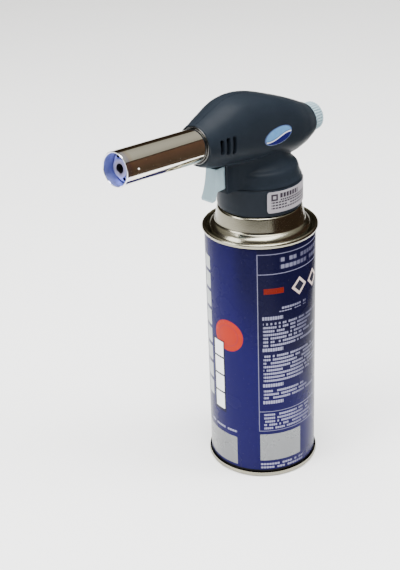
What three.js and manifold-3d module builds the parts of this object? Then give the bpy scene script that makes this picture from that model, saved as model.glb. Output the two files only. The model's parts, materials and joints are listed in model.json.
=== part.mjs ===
// Hand-held butane torch: a bayonet-mounted burner head on a nozzle-type gas cartridge.
// Millimetres, +Z up. Design frame: Z is the cartridge axis with 0 at the floor, and the
// burner points towards +X. The finished group is moved so that its origin is the centre
// of the bounding box's underside.
import * as THREE from 'three';
import { mergeVertices } from 'three/addons/utils/BufferGeometryUtils.js';
import Module from 'manifold-3d';

const wasm = await Module();
wasm.setup();

// ---------------------------------------------------------------- driving dimensions
const DEG = Math.PI / 180;
const WELD = 1e-4;                 // vertices nearer than this are one vertex
const GAP = 0.3;                   // clearance between separate touching pieces

// Cartridge: drawn tinplate can with a double seam at each end
const CAN_SIDES = 32;
const CAN_R = 32.7;
const SEAM_R = 34.2;
const SEAM_TOP = 158;
const SHEET = 0.6;                 // thickness of the can ends
const CAN_WALL = 0.5;
const NECK_BASE = { r: 26.1, z: 161.2 };
const NECK_TOP = { r: 24.5, z: 169.5 };
const CAN_TOP_Z = 170.2;           // flat top of the can, which carries valve and flange

// Valve of the cartridge, on the can axis
const STEM_R = 2;
const STEM_TOP_Z = 177;
const SPRING_WIRE_R = 0.35;

// Bayonet between the head and the cartridge
const LUG_COUNT = 3;
const LUG_WIDTH = 7;
const LOCK_TURN = 35;              // degrees from locked lugs to the notches
const FLANGE_R = 20.5;
const FLANGE_Z = 174.4;
const LUG_Z = 172.8;

// Lower collar of the head
const COLLAR_R = 24.8;
const COLLAR_BOTTOM_Z = 170.5;
const COLLAR_TOP_Z = 186.9;
const LABEL = { from: 51, to: 141, bottom: 173.2, top: 185.8, thickness: 0.3 };

// Housing: two moulded halves that meet at Y = 0
const WALL = 2;
const SPLIT = 0.1;                 // each half stops this far from the middle plane
const BULB_SIDES = 22;
const BULB_ROWS = 12;
const BULB = [                     // [x, crown z, belly z, half width, corner exponent]
  [51.5, 231.2, 207.8, 11.8, 2],
  [47.5, 232.6, 206, 13, 2.05],
  [40.5, 235.4, 204.2, 14.8, 2.15],
  [26, 239.5, 202.4, 17, 2.4],
  [8, 238.2, 199.8, 17.8, 2.5],
  [-14, 230.8, 196.2, 16.8, 2.4],
  [-28, 225, 196.6, 14.2, 2.3],
  [-36, 221.2, 198.4, 11.9, 2.1],
  [-39.2, 220, 199.2, 10.9, 2],
];
const NECK = [                     // [z, front, back, half width]
  [187.2, 24.8, 24.8, 24.8],
  [188.4, 24.7, 24.7, 24.6],
  [189.4, 24.3, 24.1, 23.9],
  [192, 23.6, 23.1, 22.7],
  [194.2, 23, 22.2, 21.5],
  [195.4, 22.4, 21.2, 20],
  [196.6, 21.8, 20.2, 17.8],
  [198.2, 21.4, 20, 15.8],
  [200.2, 21.4, 20.2, 15],
  [203, 21.5, 20.8, 14.9],
];
const NOSE_X = 33.4;               // front wall of the trigger guide
const NOSE_HALF = 5.6;
const TUNNEL = { half: 4.4, bottom: 189.4, top: 203.7 };
const VENTS = [                    // air slots: [x, bottom z, top z]
  [36.5, 213.6, 224],
  [40.5, 214.2, 224],
  [44.3, 215.2, 223.6],
];
const VENT_WIDTH = 2.4;
const BADGE = { x: 3.2, z: 215.5, length: 23.4, height: 10.4, proud: 0.4, sunk: 0.5 };
const SCREWS = [[24, 231.5], [-18, 221], [30, 208.3], [-10, 194.5]];   // [x, z]
const BOSS_R = 3.3;
const SCREW_SEAT_Y = -9;

// Burner: its axis climbs towards the mouth
const BURNER_TILT = 4 * DEG;
const BURNER_Z = 216.1;            // height of the burner axis over the can axis
const TUBE_R = 9.4;
const TUBE_WALL = 0.8;
const TUBE_START = 42;             // distances along the burner axis
const TUBE_MOUTH = 109.7;
const NOZZLE_FRONT = TUBE_MOUTH - 3.3;
const NOZZLE_R = 5;
const NOZZLE_BORE_R = 2.5;
const HEAD_FACE = 103.2;
const PORT_RING_R = 6.5;
const PORT_COUNT = 8;
const ELECTRODE_ANGLE = -45 * DEG;
const MIXER_R = 4.2;
const MIXER_WALL = 0.7;

// Gas valve and its knob, on a horizontal axis
const KNOB_Z = 209.4;
const KNOB_BASE_X = -38.6;
const KNOB_END_X = -48.5;
const KNOB_BASE_R = 9;
const KNOB_END_R = 8.5;
const KNOB_RIDGES = 32;
const KNOB_SHAFT_R = 4.6;
const SEAT_X = 2;                  // where the needle closes the gas way
const VALVE_BOTTOM_Z = 204;
const HEX_SIDES = 6;

// Trigger and piezo igniter
const TRIGGER_HALF = 4;
const STEM_BACK_X = 27.5;
const PIEZO = { back: 4.5, front: 22.2, half: 4.1, bottom: 190.8, top: 199.8 };

// ---------------------------------------------------------------- geometry helpers
const v2 = (pair) => new THREE.Vector2(pair[0], pair[1]);
const v3 = (triple) => new THREE.Vector3(...triple);

function signedVolume(position, index) {
  const [a, b, c] = [v3([0, 0, 0]), v3([0, 0, 0]), v3([0, 0, 0])];
  let sum = 0;
  for (let i = 0; i < index.length; i += 3) {
    a.fromBufferAttribute(position, index[i]);
    b.fromBufferAttribute(position, index[i + 1]);
    c.fromBufferAttribute(position, index[i + 2]);
    sum += a.dot(b.cross(c));
  }
  return sum / 6;
}

// One closed skin: shared vertices merged, collapsed triangles dropped, faces outward.
function weld(geometry) {
  const bare = new THREE.BufferGeometry();
  bare.setAttribute('position', geometry.attributes.position);
  bare.setIndex(geometry.index);
  const merged = mergeVertices(bare, WELD);
  const old = merged.index.array;
  const kept = [];
  for (let i = 0; i < old.length; i += 3) {
    const [a, b, c] = [old[i], old[i + 1], old[i + 2]];
    if (a !== b && b !== c && c !== a) kept.push(a, b, c);
  }
  if (signedVolume(merged.attributes.position, kept) < 0) kept.reverse();
  merged.setIndex(kept);
  return merged;
}

function toSolid(geometry) {
  const skin = weld(geometry);
  const vertProperties = new Float32Array(skin.attributes.position.array);
  const triVerts = new Uint32Array(skin.index.array);
  return new wasm.Manifold(new wasm.Mesh({ numProp: 3, vertProperties, triVerts }));
}

function toGeometry(solid) {
  const mesh = solid.getMesh();
  const geometry = new THREE.BufferGeometry();
  geometry.setAttribute('position', new THREE.BufferAttribute(mesh.vertProperties, 3));
  geometry.setIndex(new THREE.BufferAttribute(mesh.triVerts, 1));
  return geometry;
}

const joined = (...pieces) => pieces.map(toSolid).reduce((sum, piece) => sum.add(piece));

const cut = (geometry, ...tools) =>
  toGeometry(tools.reduce((rest, tool) => rest.subtract(toSolid(tool)), toSolid(geometry)));

// Solid of revolution about Z from an outline of [r, z] points. An outline that starts
// on the axis also ends on it; any other closes on itself.
function revolve(outline, sides) {
  const points = outline.map(v2);
  if (outline[0][0] > 0) points.push(points[0].clone());
  return new THREE.LatheGeometry(points, sides).rotateX(Math.PI / 2);
}

const revolveX = (outline, sides) => revolve(outline, sides).rotateY(Math.PI / 2);

// Round bar or tube between two stations of an axis, as an outline for revolve
const bar = (r, from, to) => [[0, from], [r, from], [r, to], [0, to]];
const tube = (inner, outer, from, to) =>
  [[inner, from], [outer, from], [outer, to], [inner, to]];

// Outline of bent sheet metal: a path widened by half the thickness to each side.
function sheet(path, thickness) {
  const left = [];
  const right = [];
  path.forEach((point, i) => {
    const here = v2(point);
    const before = v2(path[Math.max(i - 1, 0)]);
    const after = v2(path[Math.min(i + 1, path.length - 1)]);
    const into = here.clone().sub(before).normalize();
    const out = after.sub(here).normalize();
    if (i === 0) into.copy(out);
    if (i === path.length - 1) out.copy(into);
    const along = into.clone().add(out).normalize();
    if (point[0] === 0) along.set(1, 0);
    const miter = thickness / 2 / Math.max(along.dot(into), 0.6);
    left.push([here.x - along.y * miter, here.y + along.x * miter]);
    right.unshift([here.x + along.y * miter, here.y - along.x * miter]);
  });
  return left.concat(right);
}

function torus(ringR, sectionR, sides, sectionSides) {
  const outline = [];
  for (let i = 0; i < sectionSides; i += 1) {
    const turn = (i / sectionSides) * 2 * Math.PI;
    outline.push([ringR + sectionR * Math.cos(turn), sectionR * Math.sin(turn)]);
  }
  return revolve(outline, sides);
}

const box = (x0, x1, y0, y1, z0, z1) =>
  new THREE.BoxGeometry(x1 - x0, y1 - y0, z1 - z0)
    .translate((x0 + x1) / 2, (y0 + y1) / 2, (z0 + z1) / 2);

// Flat outline in the XZ plane, extruded along Y from y0 to y1
function extrudeY(shape, y0, y1, bevel = 0) {
  const options = {
    depth: y1 - y0 - 2 * bevel,
    curveSegments: 8,
    bevelEnabled: bevel > 0,
    bevelThickness: bevel,
    bevelSize: bevel,
    bevelOffset: -bevel,
    bevelSegments: 1,
  };
  const solid = new THREE.ExtrudeGeometry(shape, options);
  return solid.rotateX(Math.PI / 2).translate(0, y1 - bevel, 0);
}

function ellipseShape(x, z, length, height) {
  const shape = new THREE.Shape();
  shape.absellipse(x, z, length / 2, height / 2, 0, 2 * Math.PI);
  return shape;
}

const rodY = (x, z, r, y0, y1, sides = 16) =>
  revolve(bar(r, y0, y1), sides).rotateX(-Math.PI / 2).translate(x, 0, z);

const rodZ = (x, r, z0, z1, sides = 12) => revolve(bar(r, z0, z1), sides).translate(x, 0, 0);

// A tube or rod that follows a curve
function sweep(curve, r, sides, steps, bore = 0) {
  const section = new THREE.Shape();
  section.absarc(0, 0, r, 0, 2 * Math.PI);
  if (bore > 0) section.holes.push(new THREE.Path().absarc(0, 0, bore, 0, 2 * Math.PI, true));
  const options = { steps, curveSegments: sides / 2, extrudePath: curve };
  return new THREE.ExtrudeGeometry(section, options);
}

// Compression spring: a coil about Z from z0 to z1
class Coil extends THREE.Curve {
  constructor(r, z0, z1, turns) {
    super();
    Object.assign(this, { r, z0, z1, turns });
  }

  getPoint(t, target = new THREE.Vector3()) {
    const turn = t * this.turns * 2 * Math.PI;
    const height = this.z0 + (this.z1 - this.z0) * t;
    return target.set(this.r * Math.cos(turn), this.r * Math.sin(turn), height);
  }
}

const coil = (r, wire, z0, z1, turns) => sweep(new Coil(r, z0, z1, turns), wire, 4, turns * 8);

// A capped skin of rings: place(t, angle) gives a ring's point, centre(t) its middle.
function loft(rows, sides, place, centre) {
  const geometry = new THREE.CylinderGeometry(1, 1, 1, sides, rows);
  const position = geometry.attributes.position;
  for (let i = 0; i < position.count; i += 1) {
    const t = 0.5 - position.getY(i);
    const onRim = Math.hypot(position.getX(i), position.getZ(i)) > 0.5;
    const angle = Math.atan2(position.getX(i), position.getZ(i));
    const point = onRim ? place(t, angle) : centre(t);
    position.setXYZ(i, point.x, point.y, point.z);
  }
  return geometry;
}

// Onto the tilted burner axis, where local X is the distance along the axis
const ontoBurner = (geometry) => geometry.rotateY(-BURNER_TILT).translate(0, 0, BURNER_Z);

// ---------------------------------------------------------------- materials and meshes
const torch = new THREE.Group();
const burner = new THREE.Group();
burner.position.z = BURNER_Z;
burner.rotation.y = -BURNER_TILT;
torch.add(burner);

const look = (color, roughness, metalness) =>
  new THREE.MeshStandardMaterial({ color, roughness, metalness });
const steel = () => look('#c4c2ba', 0.3, 1);
const chrome = () => look('#d6d3cc', 0.08, 1);
const brass = () => look('#b8934a', 0.35, 1);
const lithoBlue = () => look('#22377f', 0.35, 0.2);
const shellPlastic = () => look('#20262d', 0.45, 0);
const greyPlastic = () => look('#b4c0c4', 0.45, 0);
const blackPlastic = () => look('#101214', 0.2, 0);
const rubber = () => look('#17181a', 0.85, 0);
const ceramic = () => look('#e9e4d8', 0.5, 0);

function add(name, geometry, material, group = torch) {
  const mesh = new THREE.Mesh(weld(geometry), material);
  mesh.name = name;
  group.add(mesh);
  return mesh;
}

// ---------------------------------------------------------------- cartridge
function addCan() {
  const wall = tube(CAN_R - CAN_WALL, CAN_R, 1.4, SEAM_TOP - 1.4);
  add('cartridge_body', revolve(wall, CAN_SIDES), lithoBlue());

  const lip = SHEET / 2;
  const hookR = SEAM_R - lip;
  const dome = [
    [hookR - 0.1, SEAM_TOP - 3.1], [hookR, SEAM_TOP - 0.9], [hookR - 0.8, SEAM_TOP - lip],
    [hookR - 1.9, SEAM_TOP - lip], [31.4, SEAM_TOP - 1.1], [31.1, 153.6], [30.1, 153.2],
    [29.4, 157], [28.4, 159.4], [26.6, 160.1], [NECK_BASE.r, NECK_BASE.z],
    [NECK_TOP.r, NECK_TOP.z - lip], [NECK_TOP.r - 0.7, CAN_TOP_Z - lip],
    [16.6, CAN_TOP_Z - lip],
  ];
  add('cartridge_dome', revolve(sheet(dome, SHEET), CAN_SIDES), steel());

  const base = [
    [0, 9.4], [16, 8.4], [30.4, 4.8], [31.4, 1.2],
    [hookR - 1.7, lip], [hookR - 0.7, lip], [hookR, 1], [hookR - 0.1, 3.1],
  ];
  add('cartridge_base', revolve(sheet(base, SHEET), CAN_SIDES), steel());
}

function addCanValve() {
  const cup = [
    [17.4, 170.75], [15.3, 170.75], [14.7, 165], [14, 164.3],
    [6.9, 164.3], [6.2, 165], [5.8, 172.1], [2.9, 172.1],
  ];
  add('valve_cup', revolve(sheet(cup, 0.5), 20), steel());

  const flangePath = [
    [19.8, 170.9], [18.3, 170.9], [17.95, 171.4],
    [17.95, FLANGE_Z - 0.4], [18.3, FLANGE_Z], [FLANGE_R, FLANGE_Z],
  ];
  const notches = lugAngles(LOCK_TURN).map((angle) =>
    box(18.5, FLANGE_R + 2, -LUG_WIDTH / 2 - 0.8, LUG_WIDTH / 2 + 0.8, 173, 176).rotateZ(angle));
  add('bayonet_flange', cut(revolve(sheet(flangePath, 0.8), 28), ...notches), steel());

  const housing = [
    [1.1, 152.5], [2, 152.5], [2, 155.4], [4.6, 155.4], [4.6, 170.7],
    [3.9, 170.7], [3.9, 157], [1.1, 157],
  ];
  add('valve_housing', revolve(housing, 16), look('#d9dcd6', 0.5, 0));
  add('stem_gasket', revolve(tube(2.35, 4.6, 171, 171.6), 16), rubber());
  const stem = [
    [0, 162], [1.4, 162], [1.4, 168.2], [3.4, 168.2], [3.4, 170.6], [STEM_R, 170.6],
    [STEM_R, 176.4], [STEM_R - 0.4, STEM_TOP_Z], [0.6, STEM_TOP_Z], [0.6, 166], [0, 166],
  ];
  add('valve_stem', revolve(stem, 16), look('#e4e6e2', 0.4, 0));
  add('valve_spring', coil(2.5, SPRING_WIRE_R, 157.5, 167.7, 4), steel());

  const route = [[0, 0, 152.2], [0, 0, 149], [-5, 0, 145.6], [-14, 0, 150], [-19, 0, 160]];
  const dip = new THREE.CatmullRomCurve3(route.map(v3));
  add('dip_tube', sweep(dip, 1.7, 8, 12, 1), look('#dfe3df', 0.5, 0));
}

function lugAngles(turn) {
  const angles = [];
  for (let i = 0; i < LUG_COUNT; i += 1) angles.push((90 + turn + (i * 360) / LUG_COUNT) * DEG);
  return angles;
}

// ---------------------------------------------------------------- head: collar and inlet
function addCollar() {
  const outline = [
    [24, COLLAR_BOTTOM_Z], [COLLAR_R - 0.2, COLLAR_BOTTOM_Z + 0.6], [COLLAR_R, 173],
    [COLLAR_R, COLLAR_TOP_Z - 0.4], [COLLAR_R - 0.4, COLLAR_TOP_Z], [23, COLLAR_TOP_Z],
    [23, 182], [20.5, 182], [20.5, 180.6], [23, 180.6], [23, COLLAR_BOTTOM_Z],
  ];
  add('base_collar', revolve(outline, CAN_SIDES), shellPlastic());

  const disc = [
    [21.6, 171.4], [22.7, 171.4], [22.7, 180.2], [5.4, 180.2], [5.4, 178.6], [21.6, 178.6],
  ];
  const lugs = lugAngles(0).map((angle) =>
    box(18.9, 22.2, -LUG_WIDTH / 2, LUG_WIDTH / 2, LUG_Z - 0.8, LUG_Z + 0.8).rotateZ(angle));
  add('bayonet_adapter', toGeometry(joined(revolve(disc, 30), ...lugs)), steel());

  const fitting = [
    [2.35, 172.8], [4.9, 172.8], [4.9, 180.5], [7, 180.5], [7, 182], [3.4, 182.6],
    [3.4, VALVE_BOTTOM_Z - GAP], [1, VALVE_BOTTOM_Z - GAP], [1, 177.4], [2.35, 177.4],
    [2.35, 175.6], [3.7, 175.6], [3.7, 174.1], [2.35, 174.1],
  ];
  add('inlet_fitting', revolve(fitting, 16), brass());
  add('inlet_seal', torus(3, 0.6, 16, 6).translate(0, 0, 174.85), rubber());

  const inner = COLLAR_R + 0.15;
  const outer = inner + LABEL.thickness;
  const band = new THREE.Shape();
  band.absarc(0, 0, outer, LABEL.from * DEG, LABEL.to * DEG);
  band.absarc(0, 0, inner, LABEL.to * DEG, LABEL.from * DEG, true);
  const depth = LABEL.top - LABEL.bottom;
  const options = { depth, curveSegments: 8, bevelEnabled: false };
  const label = new THREE.ExtrudeGeometry(band, options).translate(0, 0, LABEL.bottom);
  add('caution_label', label, look('#cfcbd6', 0.4, 0));
}

// ---------------------------------------------------------------- head: housing
// Section of the bulb at t, made smaller all round by inset
function bulbSection(t, inset) {
  const column = (c) => new THREE.SplineCurve(BULB.map((row) => v2([row[0], row[c]]))).getPoint(t);
  const crown = column(1);
  const belly = column(2).y + inset;
  return {
    x: crown.x,
    middle: (crown.y - inset + belly) / 2,
    half: (crown.y - inset - belly) / 2,
    width: column(3).y - inset,
    power: 2 / column(4).y,
  };
}

function bulb(inset) {
  const bend = (value, power) => Math.sign(value) * Math.abs(value) ** power;
  const place = (t, angle) => {
    const at = bulbSection(t, inset);
    const y = at.width * bend(Math.cos(angle), at.power);
    return v3([at.x, y, at.middle + at.half * bend(Math.sin(angle), at.power)]);
  };
  const centre = (t) => {
    const at = bulbSection(t, inset);
    return v3([at.x, 0, at.middle]);
  };
  return loft(BULB_ROWS, BULB_SIDES, place, centre);
}

function neck(inset, drop) {
  const rows = NECK.length - 1;
  const place = (t, angle) => {
    const [z, front, back, half] = NECK[Math.round(t * rows)];
    const reach = (Math.cos(angle) > 0 ? front : back) - inset;
    const y = (half - inset) * Math.sin(angle);
    const shift = t === 0 ? -drop : inset * (t === 1 ? 2 : 0.5);
    return v3([reach * Math.cos(angle), y, z + shift]);
  };
  const centre = (t) => place(t, 0).setX(0);
  return loft(rows, BULB_SIDES, place, centre);
}

// Trigger guide that stands out of the neck's front
function nose() {
  const shape = new THREE.Shape();
  const half = NOSE_HALF;
  shape.moveTo(8, 13.5);
  shape.quadraticCurveTo(20, 11, 27, half + 0.3);
  shape.lineTo(NOSE_X - 1, half);
  shape.quadraticCurveTo(NOSE_X, half, NOSE_X, half - 1);
  shape.lineTo(NOSE_X, -half + 1);
  shape.quadraticCurveTo(NOSE_X, -half, NOSE_X - 1, -half);
  shape.lineTo(27, -half - 0.3);
  shape.quadraticCurveTo(20, -11, 8, -13.5);
  shape.closePath();
  const options = { depth: 18, curveSegments: 4, bevelEnabled: false };
  return new THREE.ExtrudeGeometry(shape, options).translate(0, 0, NECK[0][0] + GAP);
}

function ventSlot([x, bottom, top], side) {
  const r = VENT_WIDTH / 2;
  const shape = new THREE.Shape();
  shape.absarc(x, bottom + r, r, Math.PI, 2 * Math.PI);
  shape.absarc(x, top - r, r, 0, Math.PI);
  return side > 0 ? extrudeY(shape, 9, 25) : extrudeY(shape, -25, -9);
}

const badgeOutline = (grow) =>
  extrudeY(ellipseShape(BADGE.x, BADGE.z, BADGE.length + grow, BADGE.height + grow), 8, 25);

function housingShell() {
  const outside = joined(bulb(0), neck(0, 0), nose());
  const hollow = toSolid(bulb(WALL))
    .intersect(toSolid(box(-36.3, 48.6, -30, 30, 190, 245)))
    .add(toSolid(neck(WALL, 1)));
  const bosses = SCREWS.map(([x, z]) => toSolid(rodY(x, z, BOSS_R, -22, 22)))
    .reduce((sum, boss) => sum.add(boss))
    .intersect(joined(bulb(0.8), neck(0.8, 0)));
  const tunnel = box(6, 40, -TUNNEL.half, TUNNEL.half, TUNNEL.bottom, TUNNEL.top);
  const tubeHole = ontoBurner(revolveX(bar(TUBE_R + 1.3, 46, 60), 28));
  const knobRecess = revolveX(bar(KNOB_BASE_R + 0.4, -60, -38.2), 24).translate(0, 0, KNOB_Z);
  const shaftHole = revolveX(bar(KNOB_SHAFT_R + 0.4, -45, -35), 24).translate(0, 0, KNOB_Z);
  const screwHoles = SCREWS.flatMap(([x, z]) => [
    rodY(x, z, 2.9, -25, SCREW_SEAT_Y, 14),
    rodY(x, z, 1.5, SCREW_SEAT_Y - 1, 8, 10),
  ]);
  const vents = VENTS.flatMap((slot) => [ventSlot(slot, 1), ventSlot(slot, -1)]);
  const pocket = toSolid(badgeOutline(2 * GAP)).subtract(toSolid(bulb(BADGE.sunk + GAP)));
  const openings = [tunnel, tubeHole, knobRecess, shaftHole, ...screwHoles, ...vents];
  const shell = outside.subtract(hollow).add(bosses).subtract(pocket);
  return openings.reduce((rest, opening) => rest.subtract(toSolid(opening)), shell);
}

function addHousing() {
  const shell = housingShell();
  const left = shell.intersect(toSolid(box(-70, 70, SPLIT, 40, 180, 250)));
  const right = shell.intersect(toSolid(box(-70, 70, -40, -SPLIT, 180, 250)));
  add('housing_left', toGeometry(left), shellPlastic());
  add('housing_right', toGeometry(right), shellPlastic());

  const badge = toSolid(badgeOutline(0))
    .intersect(toSolid(bulb(-BADGE.proud)))
    .subtract(toSolid(bulb(BADGE.sunk)));
  add('side_badge', toGeometry(badge), look('#6f93c8', 0.25, 0));

  SCREWS.forEach(([x, z], i) => {
    const seat = SCREW_SEAT_Y - GAP;
    const outline = [
      [0, seat - 2], [1.6, seat - 2], [2.4, seat - 1.4], [2.4, seat], [1.2, seat], [1.2, 7], [0, 7],
    ];
    const screw = revolve(outline, 12).rotateX(-Math.PI / 2).translate(x, 0, z);
    const slotX = box(x - 1.3, x + 1.3, seat - 3, seat - 1.1, z - 0.3, z + 0.3);
    const slotZ = box(x - 0.3, x + 0.3, seat - 3, seat - 1.1, z - 1.3, z + 1.3);
    add(`housing_screw_${i + 1}`, cut(screw, slotX, slotZ), steel());
  });
}

// ---------------------------------------------------------------- head: gas valve and knob
function addGasValve() {
  const barrel = revolveX(bar(5.6, -29, 9), 20).translate(0, 0, KNOB_Z);
  const block = box(-7, 9.5, -5.5, 5.5, VALVE_BOTTOM_Z, 222);
  const chamber = revolveX(bar(3.2, -30, SEAT_X), 24).translate(0, 0, KNOB_Z);
  const seat = revolveX(bar(0.8, SEAT_X - 1, 6), 8).translate(0, 0, KNOB_Z);
  const inlet = rodZ(0, 1, VALVE_BOTTOM_Z - 1, KNOB_Z, 8);
  const riser = rodZ(5.6, 0.9, KNOB_Z - 0.3, BURNER_Z + 0.5, 8);
  const outlet = ontoBurner(revolveX(bar(0.9, 5.3, 12), 8));
  const body = joined(barrel, block).subtract(joined(chamber, seat, inlet, riser, outlet));
  add('valve_body', toGeometry(body), brass());

  const nut = revolveX(bar(6.6, -33.2, -29.3), HEX_SIDES);
  const nutBore = revolveX(bar(2.5, -35, -29), 16);
  add('gland_nut', cut(nut, nutBore).translate(0, 0, KNOB_Z), brass());

  const spindle = [
    [0, -45.2], [2, -45.2], [2, -23], [2.6, -22.4], [2.6, -21.2], [2.05, -21.2],
    [2.05, -19.8], [2.6, -19.8], [2.6, -2], [0.9, -0.6], [0, SEAT_X - 0.3],
  ];
  add('needle_spindle', revolveX(spindle, 16).translate(0, 0, KNOB_Z), brass());
  const ring = torus(2.6, 0.48, 16, 6).rotateY(Math.PI / 2).translate(-20.5, 0, KNOB_Z);
  add('spindle_o_ring', ring, rubber());
}

function knobGrip() {
  const ridges = KNOB_RIDGES * 2;
  const length = KNOB_BASE_X - KNOB_END_X;
  const place = (t, angle) => {
    const onRidge = Math.round((angle / (2 * Math.PI)) * ridges) % 2 === 0;
    const plain = t < 0.3 || t > 0.95;
    const r = KNOB_BASE_R + (KNOB_END_R - KNOB_BASE_R) * t - (onRidge || plain ? 0 : 0.5);
    const rounded = t > 0.95 ? r - 0.6 : r;
    return v3([KNOB_BASE_X - length * t, rounded * Math.cos(angle), rounded * Math.sin(angle)]);
  };
  const centre = (t) => v3([KNOB_BASE_X - length * t, 0, 0]);
  return loft(5, ridges, place, centre);
}

function addKnob() {
  const shaft = revolveX([
    [0, -41], [KNOB_SHAFT_R, -41], [KNOB_SHAFT_R, -36.2], [4.1, -36.2], [4.1, -34.9],
    [KNOB_SHAFT_R, -34.9], [KNOB_SHAFT_R, -33.9], [0, -33.9],
  ], 24);
  const bore = toSolid(revolveX(bar(2.35, -46.6, -33), 16));
  const knob = joined(knobGrip(), shaft).subtract(bore);
  add('regulator_knob', toGeometry(knob).translate(0, 0, KNOB_Z), greyPlastic());
  const clip = revolveX(tube(4.35, 7, -35.9, -35.2), 16).translate(0, 0, KNOB_Z);
  add('knob_clip', clip, steel());
}

// ---------------------------------------------------------------- head: burner
function addBurner() {
  const inner = TUBE_R - TUBE_WALL;
  const barrel = revolveX(tube(inner, TUBE_R, TUBE_START, TUBE_MOUTH), 28);
  const dimple = new THREE.SphereGeometry(1.1, 8, 6).translate(102, TUBE_R + 0.5, -0.4);
  const port = revolve(bar(1.3, 0, 14), 10).rotateX((-90 - 32) * DEG).translate(80, 0, 0);
  add('burner_tube', cut(barrel, dimple, port), chrome(), burner);

  const head = [
    [NOZZLE_BORE_R, 98.3], [NOZZLE_R, 98.3], [NOZZLE_R, 100.5], [inner - 0.4, 100.5],
    [inner - 0.4, HEAD_FACE], [NOZZLE_R, HEAD_FACE], [NOZZLE_R, NOZZLE_FRONT - 0.5],
    [NOZZLE_R - 0.5, NOZZLE_FRONT], [NOZZLE_BORE_R, NOZZLE_FRONT],
  ];
  const ports = [];
  for (let i = 0; i < PORT_COUNT; i += 1) {
    const angle = ELECTRODE_ANGLE + (i / PORT_COUNT) * 2 * Math.PI;
    const [y, z] = [PORT_RING_R * Math.cos(angle), PORT_RING_R * Math.sin(angle)];
    ports.push(revolveX(bar(1.05, 99, 105), 8).translate(0, y, z));
  }
  add('flame_head', cut(revolveX(head, 24), ...ports), brass(), burner);

  const mixer = [
    [MIXER_R - MIXER_WALL, 21], [4.6, 17], [5.3, 17], [MIXER_R, 21.4],
    [MIXER_R, 98], [MIXER_R - MIXER_WALL, 98],
  ];
  const airHoles = [
    revolve(bar(1.2, -8, 8), 8).translate(24, 0, 0),
    rodY(24, 0, 1.2, -8, 8, 8),
  ];
  add('mixer_tube', cut(revolveX(mixer, 20), ...airHoles), steel(), burner);

  const disc = revolveX(tube(MIXER_R + GAP, inner - GAP, 43, 45), 24);
  const leadHole = revolveX(bar(1.9, 42, 46), 10).translate(0, ...electrodeOffset());
  add('tube_bulkhead', cut(disc, leadHole), steel(), burner);
  add('tube_clip', revolveX(tube(TUBE_R + GAP, 11, 44, 45.4), 24), steel(), burner);
  add('tube_bezel', revolveX([
    [TUBE_R + 0.25, 46.4], [TUBE_R + 1, 46.4], [TUBE_R + 1, 51.4], [TUBE_R + 0.7, 51.9],
    [TUBE_R + 0.25, 51.9],
  ], 28), blackPlastic(), burner);

  const jet = revolveX(bar(3.4, 10.1, 13), HEX_SIDES);
  const tip = revolveX(bar(1.8, 12.5, 16.4), 12);
  const orifice = toSolid(revolveX(bar(0.45, 9, 17), 8));
  add('gas_jet', toGeometry(joined(jet, tip).subtract(orifice)), brass(), burner);
}

const electrodeOffset = () =>
  [PORT_RING_R * Math.cos(ELECTRODE_ANGLE), PORT_RING_R * Math.sin(ELECTRODE_ANGLE)];

// ---------------------------------------------------------------- head: igniter and trigger
function addIgniter() {
  const [y, z] = electrodeOffset();
  const ceramicTube = revolveX(tube(0.95, 1.5, 42.2, 98.8), 10).translate(0, y, z);
  add('electrode_insulator', ceramicTube, ceramic(), burner);
  const rod = new THREE.CatmullRomCurve3([
    v3([41.8, y, z]), v3([72, y, z]), v3([102, y, z]), v3([104.4, y * 0.97, z * 0.97]),
    v3([105.6, y * 0.86, z * 0.86]),
  ]);
  add('igniter_electrode', sweep(rod, 0.6, 6, 16), steel(), burner);

  const route = [
    [14, 3.2, 200.1], [14.3, 3.9, 203], [16, 6.4, 206.8], [23, 9, 211.4], [33, 7.6, 213.6],
    [41.2, 4.62, 214.38],
  ];
  const lead = new THREE.CatmullRomCurve3(route.map(v3));
  add('electrode_lead', sweep(lead, 0.9, 8, 18), rubber());

  const { back, front, half, bottom, top } = PIEZO;
  const middle = (bottom + top) / 2;
  const body = box(back, front, -half, half, bottom, top);
  const guide = box(back + 2, front + 1, -2.9, 2.9, middle - 2.9, middle + 2.9);
  add('piezo_case', cut(body, guide), look('#c9c3b4', 0.5, 0));
  const plunger = box(17, STEM_BACK_X - GAP, -2.5, 2.5, middle - 2.5, middle + 2.5);
  add('piezo_plunger', plunger, look('#2b2e33', 0.5, 0));
  const spring = coil(2, SPRING_WIRE_R, back + 2.5, 16.6, 5).rotateY(Math.PI / 2);
  add('piezo_spring', spring.translate(0, 0, middle), steel());
}

function addTrigger() {
  const shape = new THREE.Shape();
  shape.moveTo(STEM_BACK_X, 190);
  shape.lineTo(39, 189.8);
  shape.quadraticCurveTo(40.2, 188, 40.4, 185.4);
  shape.quadraticCurveTo(42.4, 184.2, 44.2, 184.9);
  shape.lineTo(44.5, 186.4);
  shape.quadraticCurveTo(40.8, 192.5, 40, 203.2);
  shape.lineTo(33, 203.2);
  shape.lineTo(STEM_BACK_X, 201.4);
  shape.closePath();
  add('trigger', extrudeY(shape, -TRIGGER_HALF, TRIGGER_HALF, 0.5), greyPlastic());
}

// ---------------------------------------------------------------- assembly
addCan();
addCanValve();
addCollar();
addHousing();
addGasValve();
addKnob();
addBurner();
addIgniter();
addTrigger();

const MOUTH_X = TUBE_MOUTH * Math.cos(BURNER_TILT) + TUBE_R * Math.sin(BURNER_TILT);
torch.position.x = -(MOUTH_X + KNOB_END_X) / 2;

export default torch;
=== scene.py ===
"""Butane torch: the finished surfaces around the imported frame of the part.

Shapes are made in millimetres in the design frame, whose Z axis runs up the cartridge from
the floor and whose +X is the way the burner points, and are moved into the row frame in
metres when each piece is finished.
"""

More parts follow.
